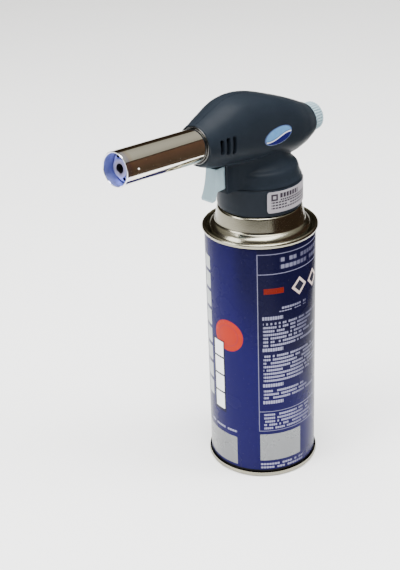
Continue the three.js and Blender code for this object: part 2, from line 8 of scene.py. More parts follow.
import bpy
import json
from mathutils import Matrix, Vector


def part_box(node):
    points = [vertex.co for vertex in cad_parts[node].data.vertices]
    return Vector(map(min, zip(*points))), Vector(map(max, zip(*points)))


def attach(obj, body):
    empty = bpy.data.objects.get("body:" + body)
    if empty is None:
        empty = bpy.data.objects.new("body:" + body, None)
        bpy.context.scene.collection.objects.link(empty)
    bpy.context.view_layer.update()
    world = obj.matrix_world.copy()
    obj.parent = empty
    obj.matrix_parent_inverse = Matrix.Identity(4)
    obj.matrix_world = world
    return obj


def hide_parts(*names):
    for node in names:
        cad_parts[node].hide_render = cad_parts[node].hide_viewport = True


bl_info = {
    "name": "Butane torch",
    "version": (1, 0, 0),
    "blender": (4, 5, 0),
    "location": "View3D > Sidebar > Torch",
    "description": "Finished surfaces of a butane torch around its packed frame",
    "category": "Add Mesh",
}

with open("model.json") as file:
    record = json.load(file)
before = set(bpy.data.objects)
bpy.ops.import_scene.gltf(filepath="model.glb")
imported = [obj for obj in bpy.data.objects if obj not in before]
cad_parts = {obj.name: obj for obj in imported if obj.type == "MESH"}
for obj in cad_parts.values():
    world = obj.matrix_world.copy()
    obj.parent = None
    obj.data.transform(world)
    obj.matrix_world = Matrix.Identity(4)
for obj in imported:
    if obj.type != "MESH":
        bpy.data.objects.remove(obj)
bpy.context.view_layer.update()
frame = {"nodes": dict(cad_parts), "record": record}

import json
import math

import bmesh
import bpy
from mathutils import Matrix, Vector

# ------------------------------------------------------------------ sizes, in millimetres
MM = 0.001
BODY_LOW, BODY_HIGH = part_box("cartridge_body")
AXIS_X = (BODY_LOW.x + BODY_HIGH.x) / 2
DESIGN = Matrix.Translation((AXIS_X, 0, 0)) @ Matrix.Scale(MM, 4)
TURN = 2 * math.pi
WELD = 0.0008  # points closer than this are merged

CAN_R = (BODY_HIGH.x - BODY_LOW.x) / 2 / MM
CAN_WALL = 0.5
SEAM_R = (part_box("cartridge_dome")[1].y) / MM
SEAM_TOP = 158
SHEET = 0.6
COLLAR_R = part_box("base_collar")[1].y / MM
COLLAR_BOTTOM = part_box("base_collar")[0].z / MM
COLLAR_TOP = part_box("base_collar")[1].z / MM
LABEL_START, LABEL_END = math.radians(51), math.radians(141)  # about the can, from +X
LABEL_CORNER = 1.6

WALL = 2
SPLIT = 0.1
HOUSING_BOTTOM = 187.2
BULB = [  # (x, crown z, belly z, half width, corner exponent)
    (51.5, 230.9, 207.8, 11.7, 2),
    (47.5, 232.1, 206, 12.8, 2),
    (40.5, 234.9, 204.2, 14.6, 2.05),
    (26, 239.5, 202.4, 17, 2.25),
    (8, 238.2, 199.8, 17.8, 2.6),
    (-14, 230.8, 196.2, 16.8, 2.6),
    (-28, 225, 196.6, 14.2, 2.3),
    (-36, 221.2, 198.4, 11.9, 2.1),
    (-39.2, 220, 199.2, 10.9, 2),
]
NECK = [  # (z, front, back, half width)
    (187.2, 24.6, 24.6, 24.6),
    (188, 24.4, 24.4, 24.3),
    (189, 23.9, 23.7, 23.6),
    (191.4, 23.5, 23.1, 22.9),
    (194.2, 23.1, 22.5, 22),
    (195.4, 22.6, 21.6, 20.6),
    (196.3, 21.9, 20.4, 18.2),
    (198.2, 21.4, 20, 15.8),
    (200.2, 21.4, 20.2, 15),
    (203, 21.5, 20.8, 14.9),
]
NECK_TOP = 206
BOSS_INSET = 0.8  # depth under the skin at which the screw bosses and the badge's pocket end
NOSE_X = 33.4
NOSE_HALF = 5.6
TUNNEL = (4.4, 189.4, 203.7)  # half width, bottom z, top z
VENTS = [(36.5, 213.6, 224), (40.5, 214.2, 224), (44.3, 215.2, 223.6)]  # (x, bottom z, top z)
VENT_WIDTH = 2.4
BADGE_X, BADGE_Z, BADGE_LENGTH, BADGE_HEIGHT = 3.2, 215.5, 23.4, 10.4
BADGE_PROUD, BADGE_SUNK = 0.42, 0.4
SCREWS = [(24, 231.5), (-18, 221), (30, 208.3), (-10, 194.5)]  # (x, z)
BOSS_R = 3.3
SCREW_SEAT_Y = -9
SCREW_WELL_R, SCREW_HOLE_R = 2.9, 1.5

TILT = math.radians(4)
BURNER_Z = 216.1
TUBE_R = 9.4
TUBE_WALL = 0.8
TUBE_START = 42
TUBE_MOUTH = 109.7
NOZZLE_R = 5
NOZZLE_BORE_R = 2.5
NOZZLE_FRONT = TUBE_MOUTH - 3.3
PORT_RING_R = 6.5
PORT_COUNT = 8
DIMPLE_AT, DIMPLE_TURN = 102, math.radians(-3)  # along the burner, and round it
DIMPLE_R, DIMPLE_DEPTH = 0.75, 0.7
BURNER = DESIGN @ Matrix.Translation((0, 0, BURNER_Z)) @ Matrix.Rotation(-TILT, 4, "Y")

KNOB_Z = 209.4
KNOB_BASE, KNOB_END = -38.6, -48.5
KNOB_BASE_R, KNOB_END_R = 9, 8.5
KNOB_GROOVES = 32
GROOVE_DEPTH = 0.6
GROOVE_START = 0.2  # share of the knob's length

ALONG_X = Matrix.Rotation(TURN / 4, 4, "Y")   # turns a shape made about Z to lie about X
ALONG_Y = Matrix.Rotation(-TURN / 4, 4, "X")  # the same, about Y
# Stands a flat (x, y) outline up in X and Z
UPRIGHT = Matrix(((1, 0, 0, 0), (0, 0, 1, 0), (0, 1, 0, 0), (0, 0, 0, 1)))

# ------------------------------------------------------------------ settings in the sidebar


class TorchColours(bpy.types.PropertyGroup):
    """Finish colours"""

    def colour(name, description, default):
        return bpy.props.FloatVectorProperty(
            name=name, description=description, default=default, size=3, min=0, max=1,
            subtype="COLOR",
        )

    housing: colour("Housing", "Blue-black moulded nylon of the head", (0.0084, 0.0118, 0.0168))
    grey: colour("Trigger and knob", "Pale blue-grey plastic", (0.24, 0.33, 0.37))
    lacquer: colour("Can lacquer", "Royal blue printed lacquer", (0.0065, 0.0045, 0.054))
    night: colour("Can panel", "Navy of the text panel", (0.003, 0.0028, 0.016))
    ink: colour("Can ink", "Pale ink of the lines and bars", (0.29, 0.29, 0.42))
    silver: colour("Can silver", "Silver boxes of the print", (0.145, 0.15, 0.155))
    signal: colour("Can disc", "Orange red of the disc and tag", (0.30, 0.020, 0.010))
    chrome: colour("Chrome", "Burner tube plating", (0.78, 0.75, 0.68))
    tinplate: colour("Tinplate", "Bare can ends", (0.25, 0.245, 0.20))
    tint: colour("Heat tint", "Tempering colour at the mouth", (0.52, 0.62, 1.0))
    label: colour("Label", "Film label on the collar", (0.25, 0.235, 0.26))


class TorchSizes(bpy.types.PropertyGroup):
    """Sizes of the fine work"""

    seam_round: bpy.props.FloatProperty(
        name="Seam rounding", description="Radius of the rolled can seams", default=0.0008,
        unit="LENGTH", min=0.0001, max=0.0012,
    )
    edge_round: bpy.props.FloatProperty(
        name="Edge rounding", description="Radius on moulded edges", default=0.0005,
        unit="LENGTH", min=0.0001, max=0.001,
    )
    voxel: bpy.props.FloatProperty(
        name="Housing grid", description="Grid on which the housing skin is blended",
        default=0.0005, unit="LENGTH", min=0.0003, max=0.002,
    )
    floor: bpy.props.FloatProperty(
        name="Floor", description="Width of the studio floor", default=24, unit="LENGTH",
    )


def colours():
    return bpy.context.scene.torch_colours


def sizes():
    return bpy.context.scene.torch_sizes


# ------------------------------------------------------------------ shaping


def spline(rows, t):
    """A smooth row between given rows, t from 0 at the first to 1 at the last."""
    place = t * (len(rows) - 1)
    i = min(int(place), len(rows) - 2)
    w = place - i
    before, here = rows[max(i - 1, 0)], rows[i]
    there, after = rows[i + 1], rows[min(i + 2, len(rows) - 1)]
    mixed = []
    for a, b, c, d in zip(before, here, there, after):
        start, end = (c - a) / 2, (d - b) / 2
        mixed.append(
            (2 * b - 2 * c + start + end) * w**3 + (3 * c - 3 * b - 2 * start - end) * w * w
            + start * w + b
        )
    return mixed


def rounded(points, radius, segments=5, closed=True):
    """The outline with each corner turned into a short arc. Points on the axis stay."""
    made = []
    last = len(points) - 1
    for i, point in enumerate(points):
        open_end = not closed and i in (0, last)
        if open_end or point[0] == 0:
            made.append(tuple(point))
            continue
        here = Vector(point)
        to_before = Vector(points[i - 1]) - here
        to_after = Vector(points[(i + 1) % len(points)]) - here
        reach = min(radius, to_before.length * 0.49, to_after.length * 0.49)
        a = here + to_before.normalized() * reach
        b = here + to_after.normalized() * reach
        for k in range(segments + 1):
            w = k / segments
            made.append(tuple(a * (1 - w) ** 2 + here * 2 * w * (1 - w) + b * w * w))
    return made


def sheet(path, thickness):
    """Outline of bent sheet metal: a path widened by half the thickness to each side."""
    left, right = [], []
    for i, point in enumerate(path):
        here = Vector(point)
        out = (Vector(path[i + 1]) - here).normalized() if i < len(path) - 1 else None
        into = (here - Vector(path[i - 1])).normalized() if i > 0 else out
        out = out or into
        along = (into + out).normalized()
        if point[0] == 0:
            along = Vector((1, 0))
        side = Vector((-along.y, along.x)) * (thickness / 2 / max(along.dot(into), 0.6))
        left.append(tuple(here + side))
        right.insert(0, tuple(here - side))
    return left + right


def lathe(outline, steps=144):
    """A bmesh turned about Z from an outline of (r, z) points, closed on itself unless it
    starts on the axis."""
    bm = bmesh.new()
    verts = [bm.verts.new((r, 0, z)) for r, z in outline]
    edges = [bm.edges.new(pair) for pair in zip(verts, verts[1:])]
    if outline[0][0] > 0:
        edges.append(bm.edges.new((verts[-1], verts[0])))
    bmesh.ops.spin(
        bm, geom=verts + edges, cent=(0, 0, 0), axis=(0, 0, 1), dvec=(0, 0, 0),
        angle=TURN, steps=steps, use_merge=True, use_normal_flip=False, use_duplicate=False,
    )
    bmesh.ops.remove_doubles(bm, verts=bm.verts, dist=WELD)
    bmesh.ops.recalc_face_normals(bm, faces=bm.faces)
    return bm


def tube(inner, outer, start, end):
    return [(inner, start), (outer, start), (outer, end), (inner, end)]


def rod(radius, start, end, segments=48, matrix=Matrix.Identity(4)):
    """A plain round bar about Z, turned by matrix."""
    bm = bmesh.new()
    middle = Matrix.Translation((0, 0, (start + end) / 2))
    bmesh.ops.create_cone(
        bm, cap_ends=True, cap_tris=False, segments=segments, radius1=radius,
        radius2=radius, depth=end - start, matrix=matrix @ middle,
    )
    return bm


def block(low, high):
    bm = bmesh.new()
    size = Vector(high) - Vector(low)
    place = Matrix.Translation((Vector(low) + Vector(high)) / 2)
    bmesh.ops.create_cube(bm, size=1, matrix=place @ Matrix.Diagonal((*size, 1)))
    return bm


def skin(rows, sides, place):
    """A capped skin of rings, each point put where place(t, angle) says."""
    bm = bmesh.new()
    bmesh.ops.create_cone(
        bm, cap_ends=True, cap_tris=False, segments=sides, radius1=1, radius2=1, depth=1,
    )
    rails = [e for e in bm.edges if abs(e.verts[0].co.z - e.verts[1].co.z) > 0.5]
    bmesh.ops.subdivide_edges(bm, edges=rails, cuts=rows - 1, use_grid_fill=True)
    for vert in bm.verts:
        vert.co = place(0.5 - vert.co.z, math.atan2(vert.co.y, vert.co.x))
    bmesh.ops.recalc_face_normals(bm, faces=bm.faces)
    return bm


def plate(outline, start, end, matrix=Matrix.Identity(4)):
    """A flat outline of (x, y) points extruded along Z, then turned by matrix."""
    bm = bmesh.new()
    face = bm.faces.new([bm.verts.new((x, y, start)) for x, y in outline])
    grown = bmesh.ops.extrude_face_region(bm, geom=[face])["geom"]
    moved = [g for g in grown if isinstance(g, bmesh.types.BMVert)]
    bmesh.ops.translate(bm, verts=moved, vec=(0, 0, end - start))
    bmesh.ops.transform(bm, matrix=matrix, verts=bm.verts)
    bmesh.ops.recalc_face_normals(bm, faces=bm.faces)
    return bm


def soften(bm, width, segments=3, angle=30):
    """Round the edges that turn by more than angle degrees."""
    sharp = [e for e in bm.edges if e.is_manifold and e.calc_face_angle() > math.radians(angle)]
    bmesh.ops.bevel(
        bm, geom=sharp, offset=width, offset_type="OFFSET", segments=segments, profile=0.5,
        affect="EDGES", material=-1, clamp_overlap=True,
    )
    return bm


def to_object(bm, name="blank"):
    mesh = bpy.data.meshes.new(name)
    bm.to_mesh(mesh)
    bm.free()
    obj = bpy.data.objects.new(name, mesh)
    bpy.context.scene.collection.objects.link(obj)
    return obj


def discard(obj):
    mesh = obj.data
    bpy.data.objects.remove(obj)
    bpy.data.meshes.remove(mesh)


def settle(obj):
    """Bake the modifiers of obj into its mesh."""
    bpy.context.view_layer.update()
    graph = bpy.context.evaluated_depsgraph_get()
    mesh = bpy.data.meshes.new_from_object(obj.evaluated_get(graph))
    old = obj.data
    obj.modifiers.clear()
    obj.data = mesh
    bpy.data.meshes.remove(old)
    return obj


def combine(obj, bm, operation):
    """Join, cut or overlap obj with the shape in bm."""
    other = to_object(bm, "other")
    modifier = obj.modifiers.new("combine", "BOOLEAN")
    modifier.operation = operation
    modifier.solver = "MANIFOLD"
    modifier.object = other
    settle(obj)
    discard(other)
    if not obj.data.polygons:
        raise RuntimeError(f"{obj.name}: nothing is left after {operation}")
    return obj


def combine_objects(obj, other, operation):
    """As combine, with a shape that is already an object and is used up."""
    bm = bmesh.new()
    bm.from_mesh(other.data)
    discard(other)
    return combine(obj, bm, operation)


def finish_piece(obj, name, body, finish, stands_for=(), matrix=DESIGN, crease=32):
    """Put a shape where it belongs, give it its finish and hand it to the frame."""
    obj.name = name
    obj.data.name = name
    obj.data.transform(matrix)
    obj.data.materials.clear()
    obj.data.materials.append(finish)
    obj.data.shade_smooth()
    obj.data.set_sharp_from_angle(angle=math.radians(crease))
    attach(obj, body)
    if stands_for:
        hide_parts(*stands_for)
    return obj


# ------------------------------------------------------------------ finishes


class Value:
    """A shader socket that takes part in Python arithmetic."""

    def __init__(self, finish, socket):
        self.finish = finish
        self.socket = socket

    def math(self, operation, *others):
        inputs = dict(enumerate((self, *others)))
        return self.finish.node("Math", {"operation": operation}, inputs).out()

    def __add__(self, other):
        return self.math("ADD", other)

    def __sub__(self, other):
        return self.math("SUBTRACT", other)

    def __mul__(self, other):
        return self.math("MULTIPLY", other)

    def __truediv__(self, other):
        return self.math("DIVIDE", other)

    def __mod__(self, other):
        return self.math("FLOORED_MODULO", other)

    def __lt__(self, other):
        return self.math("LESS_THAN", other)

    def __rsub__(self, other):
        inputs = {0: other, 1: self}
        return self.finish.node("Math", {"operation": "SUBTRACT"}, inputs).out()

    __radd__ = __add__
    __rmul__ = __mul__


class Made:
    """A node that a finish has made."""

    def __init__(self, finish, node):
        self.finish = finish
        self.node = node

    def out(self, key=0):
        return Value(self.finish, self.node.outputs[key])


def set_stops(ramp, stops):
    while len(ramp.elements) < len(stops):
        ramp.elements.new(1)
    for element, (place, colour) in zip(ramp.elements, stops):
        element.position = place
        element.color = (*colour, 1)


class Finish:
    """One material, built node by node around a Principled shader."""

    def __init__(self, name, **constants):
        self.material = bpy.data.materials.new(name)
        self.material.use_nodes = True
        self.tree = self.material.node_tree
        self.shader = self.tree.nodes["Principled BSDF"]
        for key, value in constants.items():
            label = key.replace("_", " ").title().replace("Ior", "IOR")
            self.feed(self.shader.inputs[label], value)

    def feed(self, socket, value):
        if isinstance(value, Value):
            self.tree.links.new(value.socket, socket)
        elif socket.type == "RGBA":
            socket.default_value = (*value, 1)[:4]
        else:
            socket.default_value = value

    def node(self, kind, settings=None, inputs=None):
        made = self.tree.nodes.new("ShaderNode" + kind)
        for key, value in (settings or {}).items():
            if key == "stops":
                set_stops(made.color_ramp, value)
            else:
                setattr(made, key, value)
        for key, value in (inputs or {}).items():
            self.feed(made.inputs[key], value)
        return Made(self, made)

    def surface(self, key, value):
        self.feed(self.shader.inputs[key], value)

    # -- places on the surface, in design millimetres
    def point(self, matrix=DESIGN):
        """Object coordinates turned into the millimetres of a piece's own frame."""
        place = self.node("TexCoord").out("Object")
        inverse = matrix.inverted()
        settings = {"vector_type": "POINT"}
        inputs = {
            "Vector": place,
            "Location": inverse.to_translation(),
            "Rotation": inverse.to_euler(),
            "Scale": inverse.to_scale(),
        }
        return self.node("Mapping", settings, inputs).out()

    def split(self, vector):
        made = self.node("SeparateXYZ", None, {0: vector})
        return made.out(0), made.out(1), made.out(2)

    def join(self, x, y, z):
        return self.node("CombineXYZ", None, {0: x, 1: y, 2: z}).out()

    def noise(self, vector, scale, detail=3, roughness=0.55):
        inputs = {"Vector": vector, "Scale": scale, "Detail": detail, "Roughness": roughness}
        return self.node("TexNoise", {"noise_dimensions": "3D"}, inputs).out(0)

    def cell(self, vector):
        """A steady random number for each whole-number cell."""
        return self.node("TexWhiteNoise", {"noise_dimensions": "3D"}, {"Vector": vector}).out(0)

    def step(self, value, low, high, start=0, end=1):
        """Smooth change from start to end as value goes from low to high."""
        inputs = {0: value, 1: low, 2: high, 3: start, 4: end}
        return self.node("MapRange", {"interpolation_type": "SMOOTHSTEP"}, inputs).out()

    def mix(self, factor, a, b):
        inputs = {0: factor, 6: a, 7: b}
        return self.node("Mix", {"data_type": "RGBA"}, inputs).out(2)

    def bump(self, height, distance):
        inputs = {"Strength": 1.0, "Distance": distance, "Height": height}
        self.surface("Normal", self.node("Bump", None, inputs).out())


FINISHES = {}


def once(build):
    """Each finish is made once and then shared."""

    def get(*args):
        key = (build.__name__, *args)
        if key not in FINISHES:
            FINISHES[key] = build(*args)
        return FINISHES[key]

    return get


@once
def moulded_plastic(name, colour, roughness, grain):
    """Moulded plastic: spark-eroded grain, slight colour and gloss drift, fine scuffs."""
    f = Finish(name, ior=1.5, specular_ior_level=0.06)
    at = f.point()
    drift = f.noise(at, 0.06, 3)
    scuff = f.step(f.noise(at, 0.5, 5, 0.7), 0.60, 0.75)
    pale = tuple(min(c * 1.35 + 0.004, 1) for c in colour)
    deep = tuple(c * 0.8 for c in colour)
    worn = tuple(c * 0.7 + p * 0.3 for c, p in zip(colour, pale))
    f.surface("Base Color", f.mix(scuff * 0.25, f.mix(drift, deep, worn), pale))
    f.surface("Roughness", drift * 0.12 + scuff * 0.10 + (roughness - 0.06))
    f.bump(f.noise(at, 3.2, 3) + f.noise(at, 0.5, 2) * 0.3, 0.00001 * grain)
    return f.material


@once
def gloss_black():
    """Gloss black mouldings with faint polish swirls."""
    f = Finish("gloss_black", ior=1.5, coat_weight=0.6, coat_roughness=0.06)
    at = f.point()
    swirl = f.noise(at, 1.2, 4)
    f.surface("Base Color", f.mix(swirl, (0.006, 0.007, 0.008), (0.016, 0.017, 0.019)))
    f.surface("Roughness", swirl * 0.12 + 0.12)
    f.bump(swirl, 0.000006)
    return f.material


@once
def tinplate():
    """Bright drawn tinplate: rolling lines round the can, dull patches, a warm cast."""
    f = Finish("tinplate", metallic=1.0)
    x, y, z = f.split(f.point())
    radius = (x * x + y * y).math("SQRT")
    angle = y.math("ARCTAN2", x)
    lines = f.noise(f.join(radius * 9, z * 9, angle * 3), 1, 3)
    cloud = f.noise(f.point(), 0.11, 4)
    colour = tuple(colours().tinplate)
    warm = (colour[0] * 1.02, colour[1] * 0.96, colour[2] * 0.86)
    f.surface("Base Color", f.mix(cloud, colour, warm))
    f.surface("Roughness", lines * 0.10 + cloud * 0.12 + 0.10)
    f.bump(lines + cloud * 0.6, 0.000012)
    return f.material


@once
def chrome():
    """Polished burner tube: drawing lines along it, straw, violet and blue at the mouth."""
    f = Finish("burner_chrome", metallic=1.0)
    s, y, z = f.split(f.point(BURNER))
    radius = (y * y + z * z).math("SQRT")
    angle = z.math("ARCTAN2", y)
    draw = f.noise(f.join(s * 0.15, angle * 14, radius), 1, 3)
    cloud = f.noise(f.point(), 0.09, 4)
    plain = tuple(colours().chrome)
    tint = tuple(colours().tint)
    burnt = f.node("ValToRGB", {"stops": [
        (0.0, plain), (0.30, plain), (0.55, (0.66, 0.50, 0.32)), (0.72, (0.45, 0.28, 0.42)),
        (0.86, (0.30, 0.30, 0.70)), (1.0, (0.45, 0.52, 0.80)),
    ]}, {0: f.step(s + cloud * 3, TUBE_MOUTH - 9, TUBE_MOUTH + 2.2)}).out()
    inside = radius < TUBE_R - TUBE_WALL + 0.02
    violet = f.mix(cloud, tint, (0.62, 0.64, 1.0))
    inner = f.mix(f.step(s, TUBE_MOUTH - 22, TUBE_MOUTH - 8), (0.25, 0.22, 0.2), violet)
    f.surface("Base Color", f.mix(inside, f.mix(0.35, plain, burnt), inner))
    f.surface("Roughness", draw * 0.04 + cloud * 0.06 + inside * 0.35 + 0.03)
    f.bump(draw, 0.000004)
    return f.material


@once
def heated_brass():
    """Flame head: machined metal gone blue and violet from the heat."""
    f = Finish("flame_head_heat", metallic=1.0)
    s, y, z = f.split(f.point(BURNER))
    radius = (y * y + z * z).math("SQRT")
    rings = f.noise(f.join(radius * 6, s * 6, 0), 1, 2)
    cloud = f.noise(f.point(), 0.5, 4)
    near = f.step(radius + cloud, 2.4, 6.5)
    f.surface("Base Color", f.mix(near, (0.13, 0.12, 0.15), (0.17, 0.18, 0.42)))
    f.surface("Roughness", rings * 0.15 + cloud * 0.15 + 0.22)
    f.bump(rings, 0.00001)
    return f.material


@once
def metal(name, colour, low, high, grain):
    """Plain metal: tarnish clouds, tool marks and a varied gloss."""
    f = Finish(name, metallic=1.0)
    at = f.point()
    cloud = f.noise(at, 0.35, 4)
    marks = f.noise(at, 2.6, 3)
    dull = tuple(c * 0.7 for c in colour)
    f.surface("Base Color", f.mix(f.step(cloud, 0.35, 0.7), colour, dull))
    f.surface("Roughness", cloud * (high - low) + marks * 0.06 + low)
    f.bump(marks, 0.00001 * grain)
    return f.material


@once
def rubber():
    f = Finish("nitrile_rubber", ior=1.5)
    at = f.point()
    bloom = f.noise(at, 0.8, 4)
    f.surface("Base Color", f.mix(bloom, (0.008, 0.008, 0.009), (0.022, 0.022, 0.024)))
    f.surface("Roughness", bloom * 0.2 + 0.6)
    f.bump(f.noise(at, 4, 3), 0.00002)
    return f.material


@once
def ceramic():
    f = Finish("ignition_ceramic", ior=1.6)
    at = f.point()
    speck = f.step(f.noise(at, 2.2, 3), 0.62, 0.72)
    f.surface("Base Color", f.mix(speck * 0.5, (0.78, 0.74, 0.66), (0.50, 0.44, 0.36)))
    f.surface("Roughness", f.noise(at, 1, 3) * 0.2 + 0.35)
    f.bump(f.noise(at, 3, 3), 0.00001)
    return f.material


# ------------------------------------------------------------------ the can's print


def band(f, value, low, high, soft=0.12):
    """1 where value lies between low and high, with edges soft millimetres wide."""
    rise = f.step(value, low - soft, low + soft)
    return rise * f.step(value, high - soft, high + soft, 1, 0)


def box_mask(f, u, v, left, right, bottom, top):
    return band(f, u, left, right) * band(f, v, bottom, top)


def dashes(f, u, v, pitch, cell, fill, seed):
    """Rows of short plain bars that stand in for small print, ragged at their right end."""
    row = (v / pitch).math("FLOOR")
    column = (u / cell).math("FLOOR")
    kept = f.cell(f.join(column, row, seed)) < fill
    bar = band(f, v % pitch, pitch * 0.22, pitch * 0.78, pitch * 0.08)
    gap = band(f, u % cell, cell * 0.1, cell * 0.92, cell * 0.06)
    return kept * bar * gap


def any_of(masks):
    """1 where any of the masks is 1."""
    made = masks[0]
    for mask in masks[1:]:
        made = made.math("MAXIMUM", mask)
    return made


def arc(degrees):
    """Millimetres round the can for an angle about its axis."""
    return math.radians(degrees) * CAN_R


@once
def can_print():
    """Printed lacquer: royal blue, a navy panel with pale frames, bars and plain shapes."""
    f = Finish("can_print", ior=1.5, specular_ior_level=0.05)
    c = colours()
    lacquer, night, ink = tuple(c.lacquer), tuple(c.night), tuple(c.ink)
    silver, signal = tuple(c.silver), tuple(c.signal)
    x, y, z = f.split(f.point())
    u = y.math("ARCTAN2", x) * CAN_R
    cloud = f.noise(f.point(), 0.05, 3)

    edge, right = arc(37.4), arc(128)
    panel = f.step(u, edge - 0.3, edge + 0.3)
    shade = f.step(u * 1.2 + z, 100, 158) * f.step(u, arc(6), arc(24), 0.35, 1)
    base = f.mix(shade * 0.75, lacquer, night)
    base = f.mix(panel * f.step(z, 30, 120, 0.15, 0.9), base, night)

    line = 0.5
    inner = box_mask(f, u, z, edge + line, right - line, 32.6 + line, 151.6 - line)
    rules = any_of([f.step((z - height).math("ABSOLUTE"), line * 0.4, line * 0.6, 1, 0)
                    for height in (46.7, 138.9)])
    outer = box_mask(f, u, z, edge, right, 32.6, 151.6)
    paint = f.mix(outer * (1 - inner * (1 - rules)) * 0.42, base, ink)

    large = dashes(f, u, z, 4.4, 2.7, 0.9, 1)
    large = large * box_mask(f, u, z, arc(61), arc(122), 140.8, 149.6)
    bold = any_of([box_mask(f, u, z, arc(42), arc(64), low, low + 2.2)
                   for low in (109.4, 88.4, 64, 52.2)])
    bold = bold * band(f, u % 1.5, 0.12, 1.3)
    ragged = f.cell(f.join(0, (z / 2.4).math("FLOOR"), 3)) * 22 + arc(88)
    body = any_of([box_mask(f, u, z, arc(43), arc(124), low, high)
                   for low, high in ((91.2, 108), (67.2, 86.4), (55.2, 62.4), (33.6, 45.6))])
    body = body * (u < ragged) * dashes(f, u, z, 2.4, 1.25, 0.86, 5)
    notes = [(arc(60), arc(94), 114, 117.6), (arc(38.5), arc(90), 4.8, 9.6),
             (arc(-28), arc(12.5), 28.8, 31.2)]
    small = any_of([box_mask(f, u, z, *corners) for corners in notes])
    small = small * dashes(f, u, z, 2.4, 1.7, 0.86, 9)
    marks = any_of([large, bold, body, small])
    # The marks are painted fainter towards the top of the can, and fainter towards its right
    # side as painted shade on the side turned away from the light.
    ink_fade_and_painted_shade = f.step(z, 70, 146, 0.82, 0.42) * f.step(u, arc(66), arc(94), 1, 0.38)
    paint = f.mix(marks * ink_fade_and_painted_shade, paint, ink)

    tag = box_mask(f, u, z, arc(44), arc(65), 126.2, 129.8)
    paint = f.mix(tag, paint, tuple(v * 0.35 for v in signal))
    across = ((u - arc(96)).math("ABSOLUTE") - arc(11.8)).math("ABSOLUTE")
    diamond = across + (z - 127.6).math("ABSOLUTE")
    paint = f.mix(f.step(diamond, 5.7, 6.0, 1, 0), paint, (0.42, 0.34, 0.32))
    paint = f.mix(f.step(diamond, 3.6, 3.9, 1, 0), paint, (0.01, 0.01, 0.02))

    du, dz = u - arc(4), z - 96
    far = (du * du + dz * dz).math("SQRT")
    paint = f.mix(f.step(far, 10.1, 10.4, 1, 0), paint, signal)
    paint = f.mix(band(f, far, 6.4, 7.2, 0.15) * 0.6, paint, (0.20, 0.02, 0.03))

    beam = box_mask(f, u, z, arc(-17), arc(-3), 42, 90)
    shadow = box_mask(f, u, z, arc(-19), arc(-1), 41, 91)
    breaks = band(f, (z - 42) % 12.2, 1.1, 12.1)
    paint = f.mix(shadow * 0.85, paint, (0.004, 0.004, 0.012))
    paint = f.mix(beam * breaks, paint, (0.82, 0.84, 0.86))
    tall = box_mask(f, u, z, arc(-36), arc(-23), 46, 142) * band(f, (z - 46) % 12.2, 2.2, 12.1)
    paint = f.mix(tall * 0.9, paint, (0.40, 0.43, 0.43))

    plates = any_of([box_mask(f, u, z, arc(38.5), arc(86), 11.2, 30.4),
                     box_mask(f, u, z, arc(-75), arc(12.5), 6, 26)])
    fleck = f.noise(f.point(), 2.4, 3)
    paint = f.mix(plates, paint, f.mix(fleck, silver, tuple(v * 1.35 for v in silver)))

    # Black bands on the wall: one just above the base seam, and one just under the top seam
    # that is painted shade beneath the overhanging rolled rim.
    seam_bands_and_rim_shade = any_of([f.step(z, 4.1, 4.5, 1, 0), f.step(z, 154.6, 155.2)])
    paint = f.mix(seam_bands_and_rim_shade, paint, (0.003, 0.003, 0.004))
    scuff = f.step(f.noise(f.point(), 0.7, 5, 0.7), 0.64, 0.74)
    f.surface("Base Color", f.mix(scuff * 0.06, paint, (0.4, 0.4, 0.45)))
    f.surface("Roughness", cloud * 0.1 + scuff * 0.15 + 0.22)
    f.surface("Metallic", plates * 0.7)
    f.bump(marks * -0.6 + plates * -1 + fleck * 0.1, 0.000012)
    return f.material


@once
def label_film():
    """Film label: pale ground with rows of plain bars and a rounded dark square."""
    f = Finish("label_film", ior=1.5, specular_ior_level=0.3)
    x, y, z = f.split(f.point())
    u = y.math("ARCTAN2", x) * COLLAR_R
    start, end = LABEL_START * COLLAR_R, LABEL_END * COLLAR_R
    paper = tuple(colours().label)
    cloud = f.noise(f.point(), 0.3, 3)
    paint = f.mix(cloud, paper, tuple(v * 0.88 for v in paper))
    dark = (0.012, 0.008, 0.016)
    mark = box_mask(f, u, z, start + 2.2, start + 6.2, 180.4, 184.4)
    mark = mark * (1 - box_mask(f, u, z, start + 3.3, start + 5.1, 181.5, 183.3))
    heading = box_mask(f, u, z, start + 7.4, start + 21, 181.8, 184.6)
    heading = heading * band(f, u % 2.1, 0.2, 1.8)
    rows = box_mask(f, u, z, start + 2.2, end - 2, 174.9, 180)
    rows = rows * dashes(f, u, z, 1.7, 1.9, 0.94, 22)
    caption = box_mask(f, u, z, start + 7.4, end - 4, 180.2, 181.2)
    rows = any_of([rows, caption * band(f, u % 1.3, 0.1, 1.1)])
    paint = f.mix(any_of([mark, heading, rows]), paint, dark)
    f.surface("Base Color", paint)
    f.surface("Roughness", cloud * 0.15 + 0.3)
    f.bump(cloud + rows * -0.3, 0.00001)
    return f.material


@once
def badge_enamel():
    """Domed badge: pale blue above a wavy line, dark blue below, a fine silver line just under
    the wave and a dark rim.
    """
    f = Finish("badge_enamel", ior=1.5, specular_ior_level=0.12)
    x, y, z = f.split(f.point())
    du, dz = (x - BADGE_X) / (BADGE_LENGTH / 2), (z - BADGE_Z) / (BADGE_HEIGHT / 2)
    far = (du * du + dz * dz).math("SQRT")
    wave = dz + (du * 2.6).math("SINE") * 0.22
    cloud = f.noise(f.point(), 0.4, 3)
    light = f.mix(cloud, (0.045, 0.13, 0.28), (0.09, 0.21, 0.37))
    paint = f.mix(f.step(wave, -0.12, 0.06), (0.006, 0.006, 0.06), light)
    paint = f.mix(band(f, wave, -0.24, -0.10, 0.03) * 0.8, paint, (0.62, 0.64, 0.70))
    paint = f.mix(f.step(far, 0.90, 0.93), paint, (0.05, 0.07, 0.14))
    f.surface("Base Color", paint)
    f.surface("Roughness", cloud * 0.08 + 0.10)
    f.bump(cloud, 0.000008)
    return f.material


# ------------------------------------------------------------------ pieces of the cartridge


